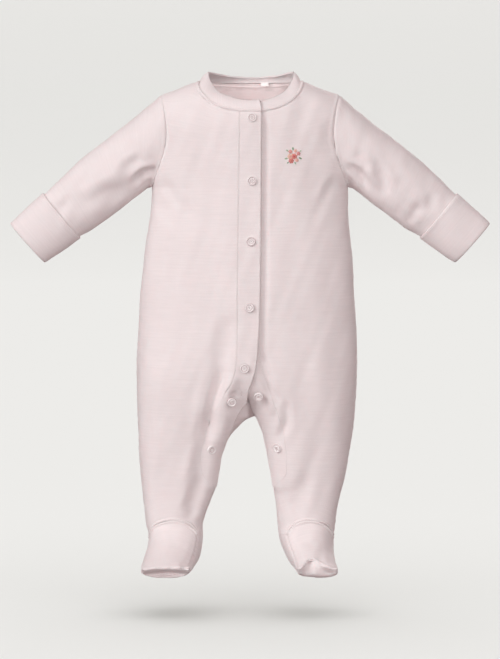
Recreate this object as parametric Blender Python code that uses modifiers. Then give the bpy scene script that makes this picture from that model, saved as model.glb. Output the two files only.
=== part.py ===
"""Footed baby sleepsuit, filled out as if worn, with no wearer inside.

The frame: +X is the wearer's left, +Y the wearer's back and +Z up. The origin is at the level of the
neck's sides on the body's middle, where a wearer's shoulders carry the garment. Lengths are in
millimetres here and become metres when a mesh is made.

The garment's outer face is one skin. Below the arms it is a row of levels, each an oval round half
the body that turns into a closed oval round one leg at the crotch. Above the arms it is a chest with
a rounded shoulder. A sleeve is a tube lofted from the armhole. Each cut piece is a stretch of that
skin, given a wall, and stops half a seam's gap short of its neighbours.
"""
import math

import bmesh
import bpy
import numpy as np
from mathutils import Matrix, Vector
from mathutils.kdtree import KDTree

MM = 0.001

# Cloth and making up
CLOTH = 1.4
DOUBLED = 2.0
BAND = 2.0
SEAM_GAP = 0.3
LAYER_GAP = 0.6
UNDER_SINK = 0.6
WELD = 0.02
LEAST_SLANT = 0.34
LEAST_LEAN = 0.72

# The body's frame
UNDERARM = 121.0
YOKE = 60.0
OPEN_TOP = 300.0
CROTCH = 369.0
CROTCH_X = 4.9
ANKLE = 500.0
TOE = 600.0
VAMP_RISE = 20.0
VAMP_MIDDLE = 0.42
CLOSING_END = 442.0
TONGUE_TOP = 336.0
NECK_HALF = 54.5
NECK_SIDE_Z = -7.0
NECK_FRONT_Z = -38.0
NECK_BACK_Z = -10.0
NECK_CROWN = 18.0
NECK_POWER = 2.2
NECK_SPREAD = 7.0
TIP_X = 96.0
TIP_Z = -23.0
SIDES = {"right": -1, "left": 1}

# Steps of the grids
LEVEL_SAMPLES = 161
FRONT_NECK_CELLS = 6
BACK_NECK_CELLS = 4
SHOULDER_CELLS = 5
SIDE_CELLS = BACK_NECK_CELLS + SHOULDER_CELLS
UNDER_CELLS = 2
FRONT_CELLS = FRONT_NECK_CELLS + SHOULDER_CELLS
PLACKET_CELLS = 3
ARM_CELLS = 5
CAP_CELLS = 6
CHEST_ROWS = 7
FOOT_ROWS = 9
SLEEVE_ROWS = 10
ROW_GROWTH = 1.3
SPREAD_CELLS = 1.6


def table(header, *rows):
    """Return the columns named in the header, each an array with one value a row."""
    columns = np.array(rows, dtype=float).T
    return dict(zip(header.split(), columns))


def knot_slopes(knots, values):
    """Slope at each knot: the harmonic mean of the two chords, or none where they turn back."""
    gaps = np.diff(knots).reshape((-1,) + (1,) * (values.ndim - 1))
    chords = np.diff(values, axis=0) / gaps
    product = chords[:-1] * chords[1:]
    total = chords[:-1] + chords[1:]
    inner = np.where(product > 0, 2 * product / np.where(total == 0, 1.0, total), 0.0)
    return np.concatenate((chords[:1], inner, chords[-1:]))


def smooth(at, knots, values):
    """Read values between their knots by cubics that never swing past a knot."""
    at = np.asarray(at, dtype=float)
    slopes = knot_slopes(knots, values)
    k = np.clip(np.searchsorted(knots, at) - 1, 0, len(knots) - 2)
    step = knots[k + 1] - knots[k]
    t = np.clip((at - knots[k]) / step, 0.0, 1.0)
    while t.ndim < values[k].ndim:
        t = t[..., None]
        step = step[..., None]
    low = (1 + 2 * t) * (1 - t) ** 2 * values[k] + t * (1 - t) ** 2 * step * slopes[k]
    high = t * t * (3 - 2 * t) * values[k + 1] + t * t * (t - 1) * step * slopes[k + 1]
    return low + high


def ease(t):
    """Go from 0 to 1 with level ends."""
    t = np.clip(t, 0.0, 1.0)
    return t * t * (3 - 2 * t)


# Levels of the body and legs: how far each lies below the shoulder, the outer sides' X, and how far
# the cloth reaches to the front and back.
LEVELS = table(
    "drop   right    left     front_y  back_y",
    (0,     -112.0,  112.0,   -43.0,   39.0),
    (60,    -112.0,  112.0,   -45.0,   41.0),
    (121,   -105.0,  105.0,   -46.5,   41.0),
    (137,   -105.8,  105.0,   -47.5,   40.5),
    (190,   -113.0,  109.5,   -51.5,   40.0),
    (243,   -117.7,  112.3,   -54.0,   41.5),
    (295,   -121.0,  115.6,   -54.5,   46.0),
    (320,   -122.8,  115.0,   -53.0,   48.5),
    (355,   -121.8,  113.8,   -48.0,   47.5),
    (390,   -120.6,  110.2,   -40.0,   42.0),
    (424,   -118.8,  104.8,   -34.0,   36.0),
    (459,   -115.4,  96.3,    -29.5,   31.0),
    (474,   -113.6,  93.0,    -28.0,   29.0),
)

# Levels of the feet: the planes of the ovals swing from level at the ankle to upright at the toe.
FEET = table(
    "drop  right    left    front_y  front_z  back_y  back_z",
    (487,  -112.0,  91.6,   -27.5,   -484.5,  27.0,   -489.0),
    (500,  -109.5,  90.4,   -33.0,   -492.5,  29.0,   -506.0),
    (515,  -110.5,  90.2,   -41.0,   -501.0,  26.5,   -522.0),
    (530,  -113.0,  91.0,   -49.0,   -507.5,  13.0,   -532.5),
    (545,  -115.0,  92.0,   -57.0,   -512.5,  -8.0,   -536.0),
    (560,  -116.0,  92.8,   -64.0,   -516.5,  -32.0,  -537.5),
    (575,  -116.0,  93.2,   -69.5,   -519.8,  -54.0,  -537.0),
    (590,  -115.0,  92.8,   -73.0,   -522.5,  -70.0,  -533.5),
    (600,  -114.0,  92.2,   -74.5,   -524.5,  -74.5,  -524.5),
)

# Middle of the body above the crotch, and the inner sides of the legs below it.
MIDDLE = table(
    "drop   x",
    (0,     1.5),
    (121,   1.5),
    (190,   0.5),
    (243,   -0.5),
    (295,   -2.0),
    (320,   -2.5),
    (345,   0.5),
    (369,   CROTCH_X),
)
INNER = table(
    "drop   right    left",
    (369,   CROTCH_X, CROTCH_X),
    (373,   -4.0,    8.0),
    (381,   -13.5,   12.3),
    (390,   -21.5,   15.6),
    (407,   -29.5,   18.8),
    (424,   -32.4,   21.6),
    (442,   -35.8,   24.0),
    (459,   -42.0,   27.0),
    (476,   -48.4,   29.2),
    (487,   -51.0,   30.3),
    (500,   -50.6,   31.6),
    (515,   -52.0,   35.0),
    (530,   -55.0,   40.0),
    (545,   -58.5,   44.5),
    (560,   -61.5,   48.0),
    (575,   -63.5,   50.5),
    (590,   -64.5,   51.5),
    (600,   -65.0,   52.0),
)

# Roundness of the ovals: 2 is an ellipse, more is squarer.
ROUNDNESS = table(
    "drop   power",
    (0,     2.35),
    (300,   2.35),
    (369,   2.5),
    (400,   2.7),
    (470,   2.6),
    (510,   2.3),
    (600,   2.3),
)

# Half width of the chest with the stump of the arm, which the armhole cuts.
CHEST = table(
    "drop   half",
    (0,     112.0),
    (60,    112.0),
    (95,    111.0),
    (105,   109.5),
    (115,   107.0),
    (121,   105.0),
)

# The armhole: X of its seam on the front and on the back.
ARMHOLE = table(
    "drop   front   back",
    (23,    96.0,   96.0),
    (45,    91.0,   93.0),
    (64,    89.3,   92.0),
    (83,    91.8,   93.5),
    (97,    96.5,   97.5),
    (106,   100.0,  100.5),
    (115,   103.0,  103.2),
    (121,   105.0,  105.0),
)

# The closing: X of the front bands' free edges and sewn edges, and of the back's underlap. The right
# band is the top one. At CLOSING_END each leg's lines meet in a plain inseam.
CLOSING = table(
    "drop   top_edge  top_sewn  low_edge  low_sewn  under_right  under_left",
    (0,     12.9,     -10.1,    -9.4,     12.0,     -12.0,       12.0),
    (186,   11.7,     -12.6,    -11.9,    11.4,     -12.0,       12.0),
    (243,   10.9,     -13.2,    -12.5,    10.6,     -12.0,       12.0),
    (293,   8.7,      -13.4,    -12.7,    9.0,      -12.0,       12.0),
    (314,   6.2,      -15.4,    -12.2,    12.5,     -12.0,       10.0),
    (323,   3.2,      -18.6,    -11.2,    15.8,     -12.0,       8.0),
    (334,   -0.9,     -24.6,    -8.2,     20.0,     -12.0,       8.0),
    (344.5, -3.9,     -30.0,    -4.2,     24.0,     -18.0,       12.0),
    (354,   -10.0,    -35.5,    1.9,      27.8,     -26.5,       17.0),
    (363,   -14.2,    -40.0,    6.0,      31.0,     -32.0,       21.0),
    (374,   -18.2,    -44.0,    11.4,     34.2,     -37.0,       26.0),
    (385,   -23.2,    -47.5,    15.6,     36.8,     -40.0,       29.5),
    (398,   -28.2,    -50.5,    18.6,     38.8,     -43.0,       31.5),
    (410,   -32.6,    -53.0,    20.8,     40.2,     -45.0,       33.0),
    (426,   -35.2,    -52.0,    23.2,     40.0,     -45.5,       34.0),
    (442,   -38.0,    -41.0,    26.2,     29.0,     -38.0,       26.2),
)
INSEAM = table(
    "drop   right    left",
    (442,   -38.0,   26.2),
    (459,   -45.0,   29.8),
    (476,   -51.4,   32.6),
    (487,   -54.4,   36.4),
    (500,   -56.6,   39.6),
    (515,   -57.8,   42.0),
    (530,   -59.6,   45.0),
    (560,   -63.4,   49.5),
    (600,   -65.0,   52.0),
)

# How far the two bands' outer faces stand off the skin where they lie on each other.
LIFTS = table(
    "drop   top                          low",
    (0,     DOUBLED + LAYER_GAP,         0.0),
    (296,   DOUBLED + LAYER_GAP,         0.0),
    (326,   2 * (DOUBLED + LAYER_GAP),   DOUBLED + LAYER_GAP),
    (352,   2 * (DOUBLED + LAYER_GAP),   DOUBLED + LAYER_GAP),
    (376,   DOUBLED + LAYER_GAP,         DOUBLED + LAYER_GAP),
    (442,   DOUBLED + LAYER_GAP,         DOUBLED + LAYER_GAP),
    (452,   0.0,                         0.0),
    (600,   0.0,                         0.0),
)
LIFT_FADE = 34.0
SPAN_HALF = 10.0
SPAN_END = 340.0
LEG_START = 8.0

# Sections of an arm, from the armhole to the hand: its upper and lower line and half its depth.
ARM = table(
    "top_x   top_z    low_x    low_z    depth",
    (112.0,  -36.5,   109.5,   -121.8,  31.5),
    (130.0,  -51.0,   115.0,   -126.0,  31.0),
    (149.0,  -66.0,   126.0,   -134.5,  30.0),
    (167.0,  -79.5,   140.0,   -145.5,  28.5),
    (184.7,  -93.8,   155.0,   -156.5,  26.0),
    (203.0,  -111.5,  169.5,   -166.8,  23.0),
    (221.5,  -129.0,  183.5,   -174.5,  19.5),
    (240.5,  -146.0,  203.0,   -188.5,  17.0),
    (256.5,  -161.0,  221.5,   -200.5,  15.0),
)
CUFF_EDGE = 7.0
CUFF_END = 9.0
SLEEVE_END = 7.45
CUFF_LAYER = 1.6
CUFF_STEP = 0.5

# The largest folds, each a soft trough or ridge (-) along a line on the front or the back.
FRONT_FOLDS = table(
    "x0      z0      x1      z1      depth  width",
    (-30,    -285,   -42,    -345,   3.0,   13),
    (-42,    -345,   -60,    -412,   3.5,   12),
    (-12,    -352,   -30,    -322,   -1.8,  9),
    (30,     -345,   42,     -398,   3.2,   12),
    (10,     -300,   34,     -330,   1.8,   12),
    (-48,    -425,   -68,    -478,   3.2,   9),
    (62,     -430,   45,     -470,   2.2,   9),
    (-98,    -128,   -60,    -150,   1.6,   10),
    (98,     -124,   70,     -150,   1.8,   10),
)
BACK_FOLDS = table(
    "x0      z0      x1      z1      depth  width",
    (-70,    -318,   70,     -312,   2.4,   16),
    (-30,    -350,   -76,    -372,   3.0,   12),
    (34,     -352,   74,     -380,   3.0,   12),
    (-96,    -130,   -58,    -168,   2.4,   12),
    (96,     -130,   62,     -160,   2.2,   12),
    (-60,    -440,   -92,    -470,   2.4,   10),
    (44,     -438,   78,     -462,   2.2,   10),
)
ARM_FOLDS = table(
    "side  x0      z0      x1      z1      depth  width",
    (-1,   118,    -108,   150,    -140,   4.0,   9),
    (-1,   170,    -112,   206,    -150,   1.8,   9),
    (1,    114,    -106,   134,    -128,   4.0,   8),
    (1,    138,    -102,   150,    -130,   2.4,   8),
    (1,    178,    -150,   196,    -134,   1.8,   8),
)

# Snaps: the drop and the X of each one's middle, and the band that it sits on.
SNAP_SEAT = 0.35
SNAPS = {
    "snap_front_1": (46.8, 2.1, "top"),
    "snap_front_2": (113.5, 2.1, "top"),
    "snap_front_3": (178.0, 1.0, "top"),
    "snap_front_4": (248.0, -0.5, "top"),
    "snap_front_5": (312.0, -6.0, "top"),
    "snap_inseam_right_1": (347.0, -19.8, "top"),
    "snap_inseam_right_2": (401.0, -42.3, "top"),
    "snap_inseam_left_1": (342.0, 9.2, "low"),
    "snap_inseam_left_2": (400.0, 30.6, "low"),
}
SNAP_PROFILE = table(
    "radius  height",
    (0.0,    0.9),
    (1.6,    0.9),
    (2.6,    0.5),
    (3.5,    0.6),
    (4.3,    1.3),
    (4.9,    0.7),
    (4.9,    0.0),
    (0.0,    0.0),
)

# Neckband and neck tab
COLLAR_HALF = 45.0
COLLAR_MIDDLE = (1.0, -4.5)
COLLAR_DEPTHS = (38.0, 33.0)
COLLAR_REACH = (-35.0, 26.0)
COLLAR_TOP = (-29.5, 3.0, -2.6)
COLLAR_BELLY = 0.9
TAB_X = (11.6, 20.2)
TAB_Z = (-13.2, -9.0)
TAB_WALL = 1.0
TAB_INSET = 2.7

MATERIALS = {
    "cloth": ((0.86, 0.70, 0.69, 1.0), 0.9),
    "ribbing": ((0.87, 0.71, 0.70, 1.0), 0.88),
    "snap": ((0.88, 0.76, 0.76, 1.0), 0.4),
    "tab": ((0.93, 0.92, 0.91, 1.0), 0.8),
}


# ---------------------------------------------------------------- the skin

def fold_depth(folds, x, z, side=None):
    """Sum the folds at (x, z): each is a bell across its line and a long swell along it."""
    depth = np.zeros(np.broadcast(x, z).shape)
    for k in range(len(folds["x0"])):
        if side is not None and folds["side"][k] != side:
            continue
        start = np.array((folds["x0"][k], folds["z0"][k]))
        run = np.array((folds["x1"][k], folds["z1"][k])) - start
        reach = math.hypot(*run)
        along = ((x - start[0]) * run[0] + (z - start[1]) * run[1]) / reach
        across = ((x - start[0]) * run[1] - (z - start[1]) * run[0]) / reach
        beyond = np.clip(np.abs(along - reach / 2) - reach / 4, 0.0, None) / (reach / 3)
        depth += folds["depth"][k] * np.exp(-(across / folds["width"][k]) ** 2 - beyond ** 2)
    return depth


def level_values(side, drop):
    """Read the level's outer and inner X, and its front and back points in Y and Z."""
    name = "right" if side < 0 else "left"
    knots = np.concatenate((LEVELS["drop"], FEET["drop"]))
    outer = smooth(drop, knots, np.concatenate((LEVELS[name], FEET[name])))
    front_y = smooth(drop, knots, np.concatenate((LEVELS["front_y"], FEET["front_y"])))
    back_y = smooth(drop, knots, np.concatenate((LEVELS["back_y"], FEET["back_y"])))
    front_z = smooth(drop, knots, np.concatenate((-LEVELS["drop"], FEET["front_z"])))
    back_z = smooth(drop, knots, np.concatenate((-LEVELS["drop"], FEET["back_z"])))
    above = smooth(drop, MIDDLE["drop"], MIDDLE["x"])
    below = smooth(drop, INNER["drop"], INNER[name])
    inner = np.where(drop < CROTCH, above, below)
    return outer, inner, front_y, back_y, front_z, back_z


def level(side, drop):
    """Points along each level, from its inner end by the front, the side and the back.

    Above OPEN_TOP the level is half an oval. Down to CROTCH it turns on until it closes on itself,
    so that its ends run down a U between the legs. Below that it is a whole oval.
    """
    outer, inner, front_y, back_y, front_z, back_z = level_values(side, drop)
    closed = np.clip((drop - OPEN_TOP) / (CROTCH - OPEN_TOP), 0.0, 1.0)
    turn = np.arccos(-closed)
    bend = 2.0 / smooth(drop, ROUNDNESS["drop"], ROUNDNESS["power"])
    angle = turn[:, None] * np.linspace(-1.0, 1.0, LEVEL_SAMPLES)
    cosine = np.sign(np.cos(angle)) * np.abs(np.cos(angle)) ** bend[:, None]
    sine = np.sign(np.sin(angle)) * np.abs(np.sin(angle)) ** bend[:, None]
    half = (outer - inner) / (1.0 + closed ** bend)
    x = (outer - half)[:, None] + half[:, None] * cosine
    y = (front_y + back_y)[:, None] / 2 + (back_y - front_y)[:, None] / 2 * sine
    z = (front_z + back_z)[:, None] / 2 + (back_z - front_z)[:, None] / 2 * sine
    front = np.clip(-sine, 0.0, 1.0) * fold_depth(FRONT_FOLDS, x, z)
    back = np.clip(sine, 0.0, 1.0) * fold_depth(BACK_FOLDS, x, z)
    return np.stack((x, y + front - back, z), axis=-1)


def lengths_along(points):
    """Length from the first point to each point of every row."""
    steps = np.linalg.norm(np.diff(points, axis=1), axis=2)
    return np.concatenate((np.zeros((len(points), 1)), np.cumsum(steps, axis=1)), axis=1)


def spans(side, drop):
    """Length along each level from its inner end to the side seam, and to its other end."""
    run = lengths_along(level(side, np.asarray(drop, dtype=float).ravel()))
    shape = np.shape(drop)
    return run[:, LEVEL_SAMPLES // 2].reshape(shape), run[:, -1].reshape(shape)


def skin(side, drop, reach):
    """Points of the body's outer face at a drop, reach mm from the level's inner end."""
    drop, reach = np.broadcast_arrays(np.asarray(drop, dtype=float), np.asarray(reach, dtype=float))
    flat_drop = drop.ravel()
    points = level(side, flat_drop)
    run = lengths_along(points)
    wanted = np.clip(reach.ravel(), 0.0, run[:, -1])
    k = np.clip((run < wanted[:, None]).sum(axis=1) - 1, 0, LEVEL_SAMPLES - 2)
    row = np.arange(len(flat_drop))
    part = (wanted - run[row, k]) / np.maximum(run[row, k + 1] - run[row, k], 1e-9)
    found = points[row, k] + part[:, None] * (points[row, k + 1] - points[row, k])
    return found.reshape(drop.shape + (3,))


def shoulder_line(x):
    """Height of the garment's upper line over each X: the neck's crown, then the shoulder seam."""
    out = np.abs(x)
    crown = NECK_SIDE_Z + NECK_CROWN * (1 - (out / NECK_HALF) ** 2)
    slope = NECK_SIDE_Z + (TIP_Z - NECK_SIDE_Z) * (out - NECK_HALF) / (TIP_X - NECK_HALF)
    return np.where(out < NECK_HALF, crown, slope)


def chest_y(x, z, face):
    """Y of the chest (face -1) or the upper back (face 1): an oval that rounds over the shoulder."""
    drop = -z
    middle = smooth(drop, MIDDLE["drop"], MIDDLE["x"])
    half = smooth(drop, CHEST["drop"], CHEST["half"]) - middle * np.sign(x - middle)
    front_y = smooth(drop, LEVELS["drop"], LEVELS["front_y"])
    back_y = smooth(drop, LEVELS["drop"], LEVELS["back_y"])
    power = smooth(drop, ROUNDNESS["drop"], ROUNDNESS["power"])
    across = np.clip(1 - (np.abs(x - middle) / half) ** power, 0.0, 1.0) ** (1 / power)
    climb = np.clip((z + YOKE) / (shoulder_line(x) + YOKE), 0.0, 1.0)
    swell = across * np.sqrt(1 - climb ** 2)
    folds = fold_depth(FRONT_FOLDS if face < 0 else BACK_FOLDS, x, z)
    return (front_y + back_y) / 2 + face * ((back_y - front_y) / 2 - folds) * swell


def reach_at(side, drop, x):
    """Length from a level's inner end to the point of its front that has the given X."""
    drop, x = np.broadcast_arrays(np.asarray(drop, dtype=float), np.asarray(x, dtype=float))
    points = level(side, drop.ravel())
    run = lengths_along(points)
    half = LEVEL_SAMPLES // 2 + 1
    places = points[:, :half, 0] * side
    wanted = np.clip(x.ravel() * side, places[:, 0], places[:, -1])
    k = np.clip((places < wanted[:, None]).sum(axis=1) - 1, 0, half - 2)
    row = np.arange(len(k))
    part = (wanted - places[row, k]) / np.maximum(places[row, k + 1] - places[row, k], 1e-9)
    return (run[row, k] + part * (run[row, k + 1] - run[row, k])).reshape(drop.shape)


def leg_place(side, drop, x):
    """Points at the given X on the front of one half below the arms."""
    return skin(side, drop, reach_at(side, drop, x))


def front_place(drop, x, leg=0):
    """Points of the front at the given X: on one leg, or across both halves.

    Across both halves the cloth spans the dip between the legs in a straight line.
    """
    drop, x = np.broadcast_arrays(np.asarray(drop, dtype=float), np.asarray(x, dtype=float))
    upper = np.stack((x, chest_y(x, -drop, -1), -drop), axis=-1)
    low = np.maximum(drop, UNDERARM)
    if leg:
        lower = leg_place(leg, low, x)
    else:
        middle = smooth(low, MIDDLE["drop"], MIDDLE["x"])
        span = SPAN_HALF * ease((low - OPEN_TOP) / 10.0) * (1 - ease((low - SPAN_END) / 20.0)) + 0.1
        right = leg_place(-1, low, np.minimum(x, middle - span))
        left = leg_place(1, low, np.maximum(x, middle + span))
        part = np.clip((x - middle + span) / (2 * span), 0.0, 1.0)[..., None]
        lower = right + (left - right) * part
    return np.where((drop < UNDERARM)[..., None], upper, lower)


def front_normal(drop, x, leg=0):
    """Outward direction at front_place, from points 1 mm to each side."""
    sideways = front_place(drop, x + 1.0, leg) - front_place(drop, x - 1.0, leg)
    down = front_place(drop + 1.0, x, leg) - front_place(drop - 1.0, x, leg)
    normal = np.cross(down, sideways)
    return normal / np.maximum(np.linalg.norm(normal, axis=-1, keepdims=True), 1e-9)


# ---------------------------------------------------------------- grids of the pieces

def level_drops():
    """Drops of the body's rows: wide on the body, closer round the crotch."""
    torso = np.linspace(UNDERARM, OPEN_TOP, 11)
    crotch = np.linspace(OPEN_TOP, CROTCH, 9)[1:]
    thigh = np.linspace(CROTCH, CLOSING_END, 9)[1:]
    shin = np.linspace(CLOSING_END, ANKLE, 6)[1:]
    return np.concatenate((torso, crotch, thigh, shin))


def closing(name, drop):
    """Read the X of one line of the closing."""
    return smooth(np.minimum(drop, CLOSING_END), CLOSING["drop"], CLOSING[name])


def inseam(side, drop):
    """Length from a level's inner end to the plain inseam, or to the foot top's inner seam."""
    name = "right" if side < 0 else "left"
    x = smooth(np.maximum(drop, CLOSING_END), INSEAM["drop"], INSEAM[name])
    return reach_at(side, drop, x) * ease((TOE - drop) / 12.0)


def front_edge(side, drop):
    """Length from the inner end of a level to the front panel's inner edge."""
    sewn = reach_at(side, drop, closing("top_sewn" if side < 0 else "low_sewn", drop))
    blend = ease((drop - CLOSING_END) / 6.0)
    return sewn + (inseam(side, drop) - sewn) * blend


def back_edge(side, drop):
    """Length past the inseam that the back's cloth reaches under the front's edge."""
    under = reach_at(side, drop, closing("under_right" if side < 0 else "under_left", drop))
    return np.where(drop < CLOSING_END, under, inseam(side, drop))


def lift(side, drop, beside):
    """How far a front panel's outer face stands off the skin, beside mm from its band."""
    height = smooth(drop, LIFTS["drop"], LIFTS["top" if side < 0 else "low"])
    return height * ease(1 - beside / LIFT_FADE)


def skin_normal(side, drop, reach):
    """Outward direction of the skin of one half, from points 1 mm to each side."""
    down = skin(side, drop + 1.0, reach) - skin(side, drop - 1.0, reach)
    along = skin(side, drop, reach + 1.0) - skin(side, drop, np.maximum(reach - 1.0, 0.0))
    normal = np.cross(down, along) * side
    return normal / np.linalg.norm(normal, axis=-1, keepdims=True)


def facing_out(side, grid):
    """Order a grid's columns so that its faces point out."""
    return grid if side < 0 else grid[:, ::-1]


def neckline_z(x, face):
    """Height of the neckline at each X: a deep round on the front (face -1), a shallow one behind."""
    along = np.clip(np.abs(x) / NECK_HALF, 0.0, 1.0)
    front = (NECK_FRONT_Z - NECK_SIDE_Z) * (1 - along ** NECK_POWER) ** (1 / NECK_POWER)
    back = (NECK_BACK_Z - NECK_SIDE_Z) * (1 - along ** 2)
    return NECK_SIDE_Z + (front if face < 0 else back)


def even_neck(side, face, inner, cells):
    """X of points that stand evenly along the neckline, from its inner end to the shoulder."""
    x = inner + (NECK_HALF * side - inner) * np.sin(np.linspace(0.0, math.pi / 2, 241))
    z = neckline_z(x, face)
    line = np.stack((x, chest_y(x, z, face), z), axis=-1)
    run = lengths_along(line[None])[0]
    return np.interp(np.linspace(0.0, run[-1], cells + 1), run, x)


def upper_grid(side, face, cells_neck):
    """Grid of the chest or upper back, from the shoulder and neckline down to the underarm.

    Its X is a blend of its four edges, spread outward beside the neck, where the neckline and the
    shoulder seam meet. Its rows climb evenly to the yoke, then by angle over the shoulder's round,
    so that they are evenly spaced on the cloth.
    """
    columns = cells_neck + SHOULDER_CELLS
    middle = float(smooth(UNDERARM, MIDDLE["drop"], MIDDLE["x"]))
    if face < 0:
        start = float(front_edge(side, UNDERARM))
        reach = np.linspace(start, spans(side, np.array([UNDERARM]))[0][0], columns + 1)
        inner = float(closing("top_sewn" if side < 0 else "low_sewn", 40.0))
    else:
        start, end = (value[0] for value in spans(side, np.array([UNDERARM])))
        reach = np.linspace(end, start, columns + 1)
        inner = middle
    base = skin(side, np.full(columns + 1, UNDERARM), reach)
    neck_x = even_neck(side, face, inner, cells_neck)
    shoulder_x = side * np.linspace(NECK_HALF, TIP_X, SHOULDER_CELLS + 1)[1:]
    top_x = np.concatenate((neck_x, shoulder_x))
    top_z = np.concatenate((neckline_z(neck_x, face), shoulder_line(shoulder_x)))

    rise = np.concatenate((np.linspace(0, 1, ARM_CELLS + 1) ** ROW_GROWTH, np.ones(CAP_CELLS)))
    swing = np.concatenate((np.zeros(ARM_CELLS + 1), np.arange(1, CAP_CELLS + 1) / CAP_CELLS))
    full = np.arcsin(np.clip((top_z + YOKE) / (shoulder_line(top_x) + YOKE), 0.0, 1.0))
    column = np.linspace(0.0, 1.0, columns + 1)
    seam = ARMHOLE["front" if face < 0 else "back"]
    seam_z = -UNDERARM + (UNDERARM - YOKE) * rise + (TIP_Z + YOKE) * np.sin(swing * math.pi / 2)
    seam_x = side * smooth(np.clip(-seam_z, -TIP_Z, UNDERARM), ARMHOLE["drop"], seam)
    part = (seam_z + UNDERARM) / (TIP_Z + UNDERARM)
    inner_x = base[0, 0] + (inner - base[0, 0]) * part
    corner = ((1 - part)[:, None] * ((1 - column) * base[0, 0] + column * base[-1, 0])
              + part[:, None] * ((1 - column) * top_x[0] + column * top_x[-1]))
    x = ((1 - part)[:, None] * base[:, 0] + part[:, None] * top_x
         + inner_x[:, None] * (1 - column) + seam_x[:, None] * column - corner)
    beside = np.exp(-((np.arange(columns + 1) - cells_neck) / SPREAD_CELLS) ** 2)
    beside = beside * (column > 0) * (column < 1)
    x = x + side * NECK_SPREAD * beside * np.sin(math.pi * (1 - swing[:, None]) ** 0.6)
    angle = swing[:, None] * full[None, :]
    z = (-UNDERARM + (UNDERARM - YOKE) * rise)[:, None] + (shoulder_line(x) + YOKE) * np.sin(angle)
    grid = np.stack((x, chest_y(x, z, face), z), axis=-1)
    grid[0] = base
    return grid[::-1]


def vamp_arc(column):
    """How far the seam over the foot rises, from its inner end to the side seam."""
    return VAMP_RISE * np.clip(1 - (column / VAMP_MIDDLE - 1) ** 2, 0.0, None)


def front_grids(side):
    """Grids of a front panel: the chest, then the body and leg down to the foot's arc."""
    upper = upper_grid(side, -1, FRONT_NECK_CELLS)
    drop = np.clip(-upper[..., 2], 0.0, UNDERARM)
    beside = np.abs(upper[..., 0] - closing("top_sewn" if side < 0 else "low_sewn", drop))
    height = lift(side, drop, beside)
    upper = upper + front_normal(drop, upper[..., 0]) * height[..., None]
    drops = level_drops()
    column = np.linspace(0.0, 1.0, FRONT_CELLS + 1)
    arc = vamp_arc(column)
    low = np.clip((drops - CLOSING_END) / (ANKLE - CLOSING_END), 0.0, 1.0)
    drop = drops[:, None] - arc[None, :] * low[:, None]
    edge = front_edge(side, drop)
    reach = edge + (spans(side, drop)[0] - edge) * column
    lower = skin(side, drop, reach)
    normal = front_normal(drop, lower[..., 0], side)
    lower = lower + normal * lift(side, drop, reach - edge)[..., None]
    upper[-1] = lower[0]
    return upper, lower


def back_grids(side):
    """Grids of one half of the back: the upper back, the body and leg, and the underlap."""
    upper = upper_grid(side, 1, BACK_NECK_CELLS)[:, ::-1]
    drops = level_drops()
    seam, end = spans(side, drops)
    reach = seam[:, None] + (end - seam)[:, None] * np.linspace(0.0, 1.0, SIDE_CELLS + 1)
    lower = skin(side, drops[:, None], reach)
    upper[-1] = lower[0]
    flap = drops[drops > TONGUE_TOP]
    reach = back_edge(side, flap)[:, None] * np.linspace(0.0, 1.0, UNDER_CELLS + 1)
    under = skin(side, flap[:, None], reach)
    sunk = UNDER_SINK * ease(reach / 8.0) * ease((CLOSING_END - flap[:, None]) / 10.0)
    under = under - skin_normal(side, flap[:, None], reach) * sunk[..., None]
    return upper, lower, under


def placket_grid(side):
    """Grid of a closing band, from the neckline to the end of the closing on its own leg."""
    free, sewn, height = ("top_edge", "top_sewn", "top") if side < 0 else ("low_edge", "low_sewn", "low")
    neck = neckline_drop(side)
    chest = np.linspace(neck, UNDERARM, CHEST_ROWS + 1)[:-1]
    body = level_drops()
    drop = np.concatenate((chest, body[body < CLOSING_END + 1.0]))[:, None]
    column = np.linspace(0.0, 1.0, PLACKET_CELLS + 1)
    x = closing(free, drop) + (closing(sewn, drop) - closing(free, drop)) * column
    leg = front_place(drop, x, side) + front_normal(drop, x, side) * band_lift(drop, height)
    trunk = front_place(drop, x) + front_normal(drop, x) * band_lift(drop, height)
    return np.where((drop > CROTCH - LEG_START)[..., None], leg, trunk)


def band_lift(drop, height):
    """How far a band's outer face stands off the skin at each drop."""
    return smooth(drop, LIFTS["drop"], LIFTS[height])[..., None]


def neckline_drop(side):
    """How far below the shoulder the neckline lies at the bands."""
    x = float(closing("top_sewn" if side < 0 else "low_sewn", 40.0))
    return -float(neckline_z(x, -1))


def foot_grids(side):
    """Grids of the foot's top and of its sole with the heel, from the ankle to the toe seam."""
    part = np.linspace(0.0, 1.0, FOOT_ROWS + 1)
    column = np.linspace(0.0, 1.0, FRONT_CELLS + 1)
    arc = vamp_arc(column)
    drop = ANKLE + (TOE - ANKLE) * part[:, None] - arc * (1 - part[:, None])
    edge = inseam(side, drop)
    reach = edge + (spans(side, drop)[0] - edge) * column
    top = skin(side, drop, reach)

    drops = ANKLE + (TOE - ANKLE) * part
    seam, end = spans(side, drops)
    edge = inseam(side, drops)
    round_back = seam[:, None] + (end - seam)[:, None] * np.linspace(0.0, 1.0, SIDE_CELLS + 1)
    round_inside = end[:, None] + edge[:, None] * np.linspace(0.0, 1.0, UNDER_CELLS + 1)[1:]
    evenly = seam[:, None] + (end + edge - seam)[:, None] * column
    joined = np.concatenate((round_back, round_inside), axis=1)
    reach = joined * (1 - part[:, None]) + evenly * part[:, None]
    wrapped = np.where(reach > end[:, None], reach - end[:, None], reach)
    sole = skin(side, drops[:, None], wrapped)
    return top, sole


# ---------------------------------------------------------------- arms and neck

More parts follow.
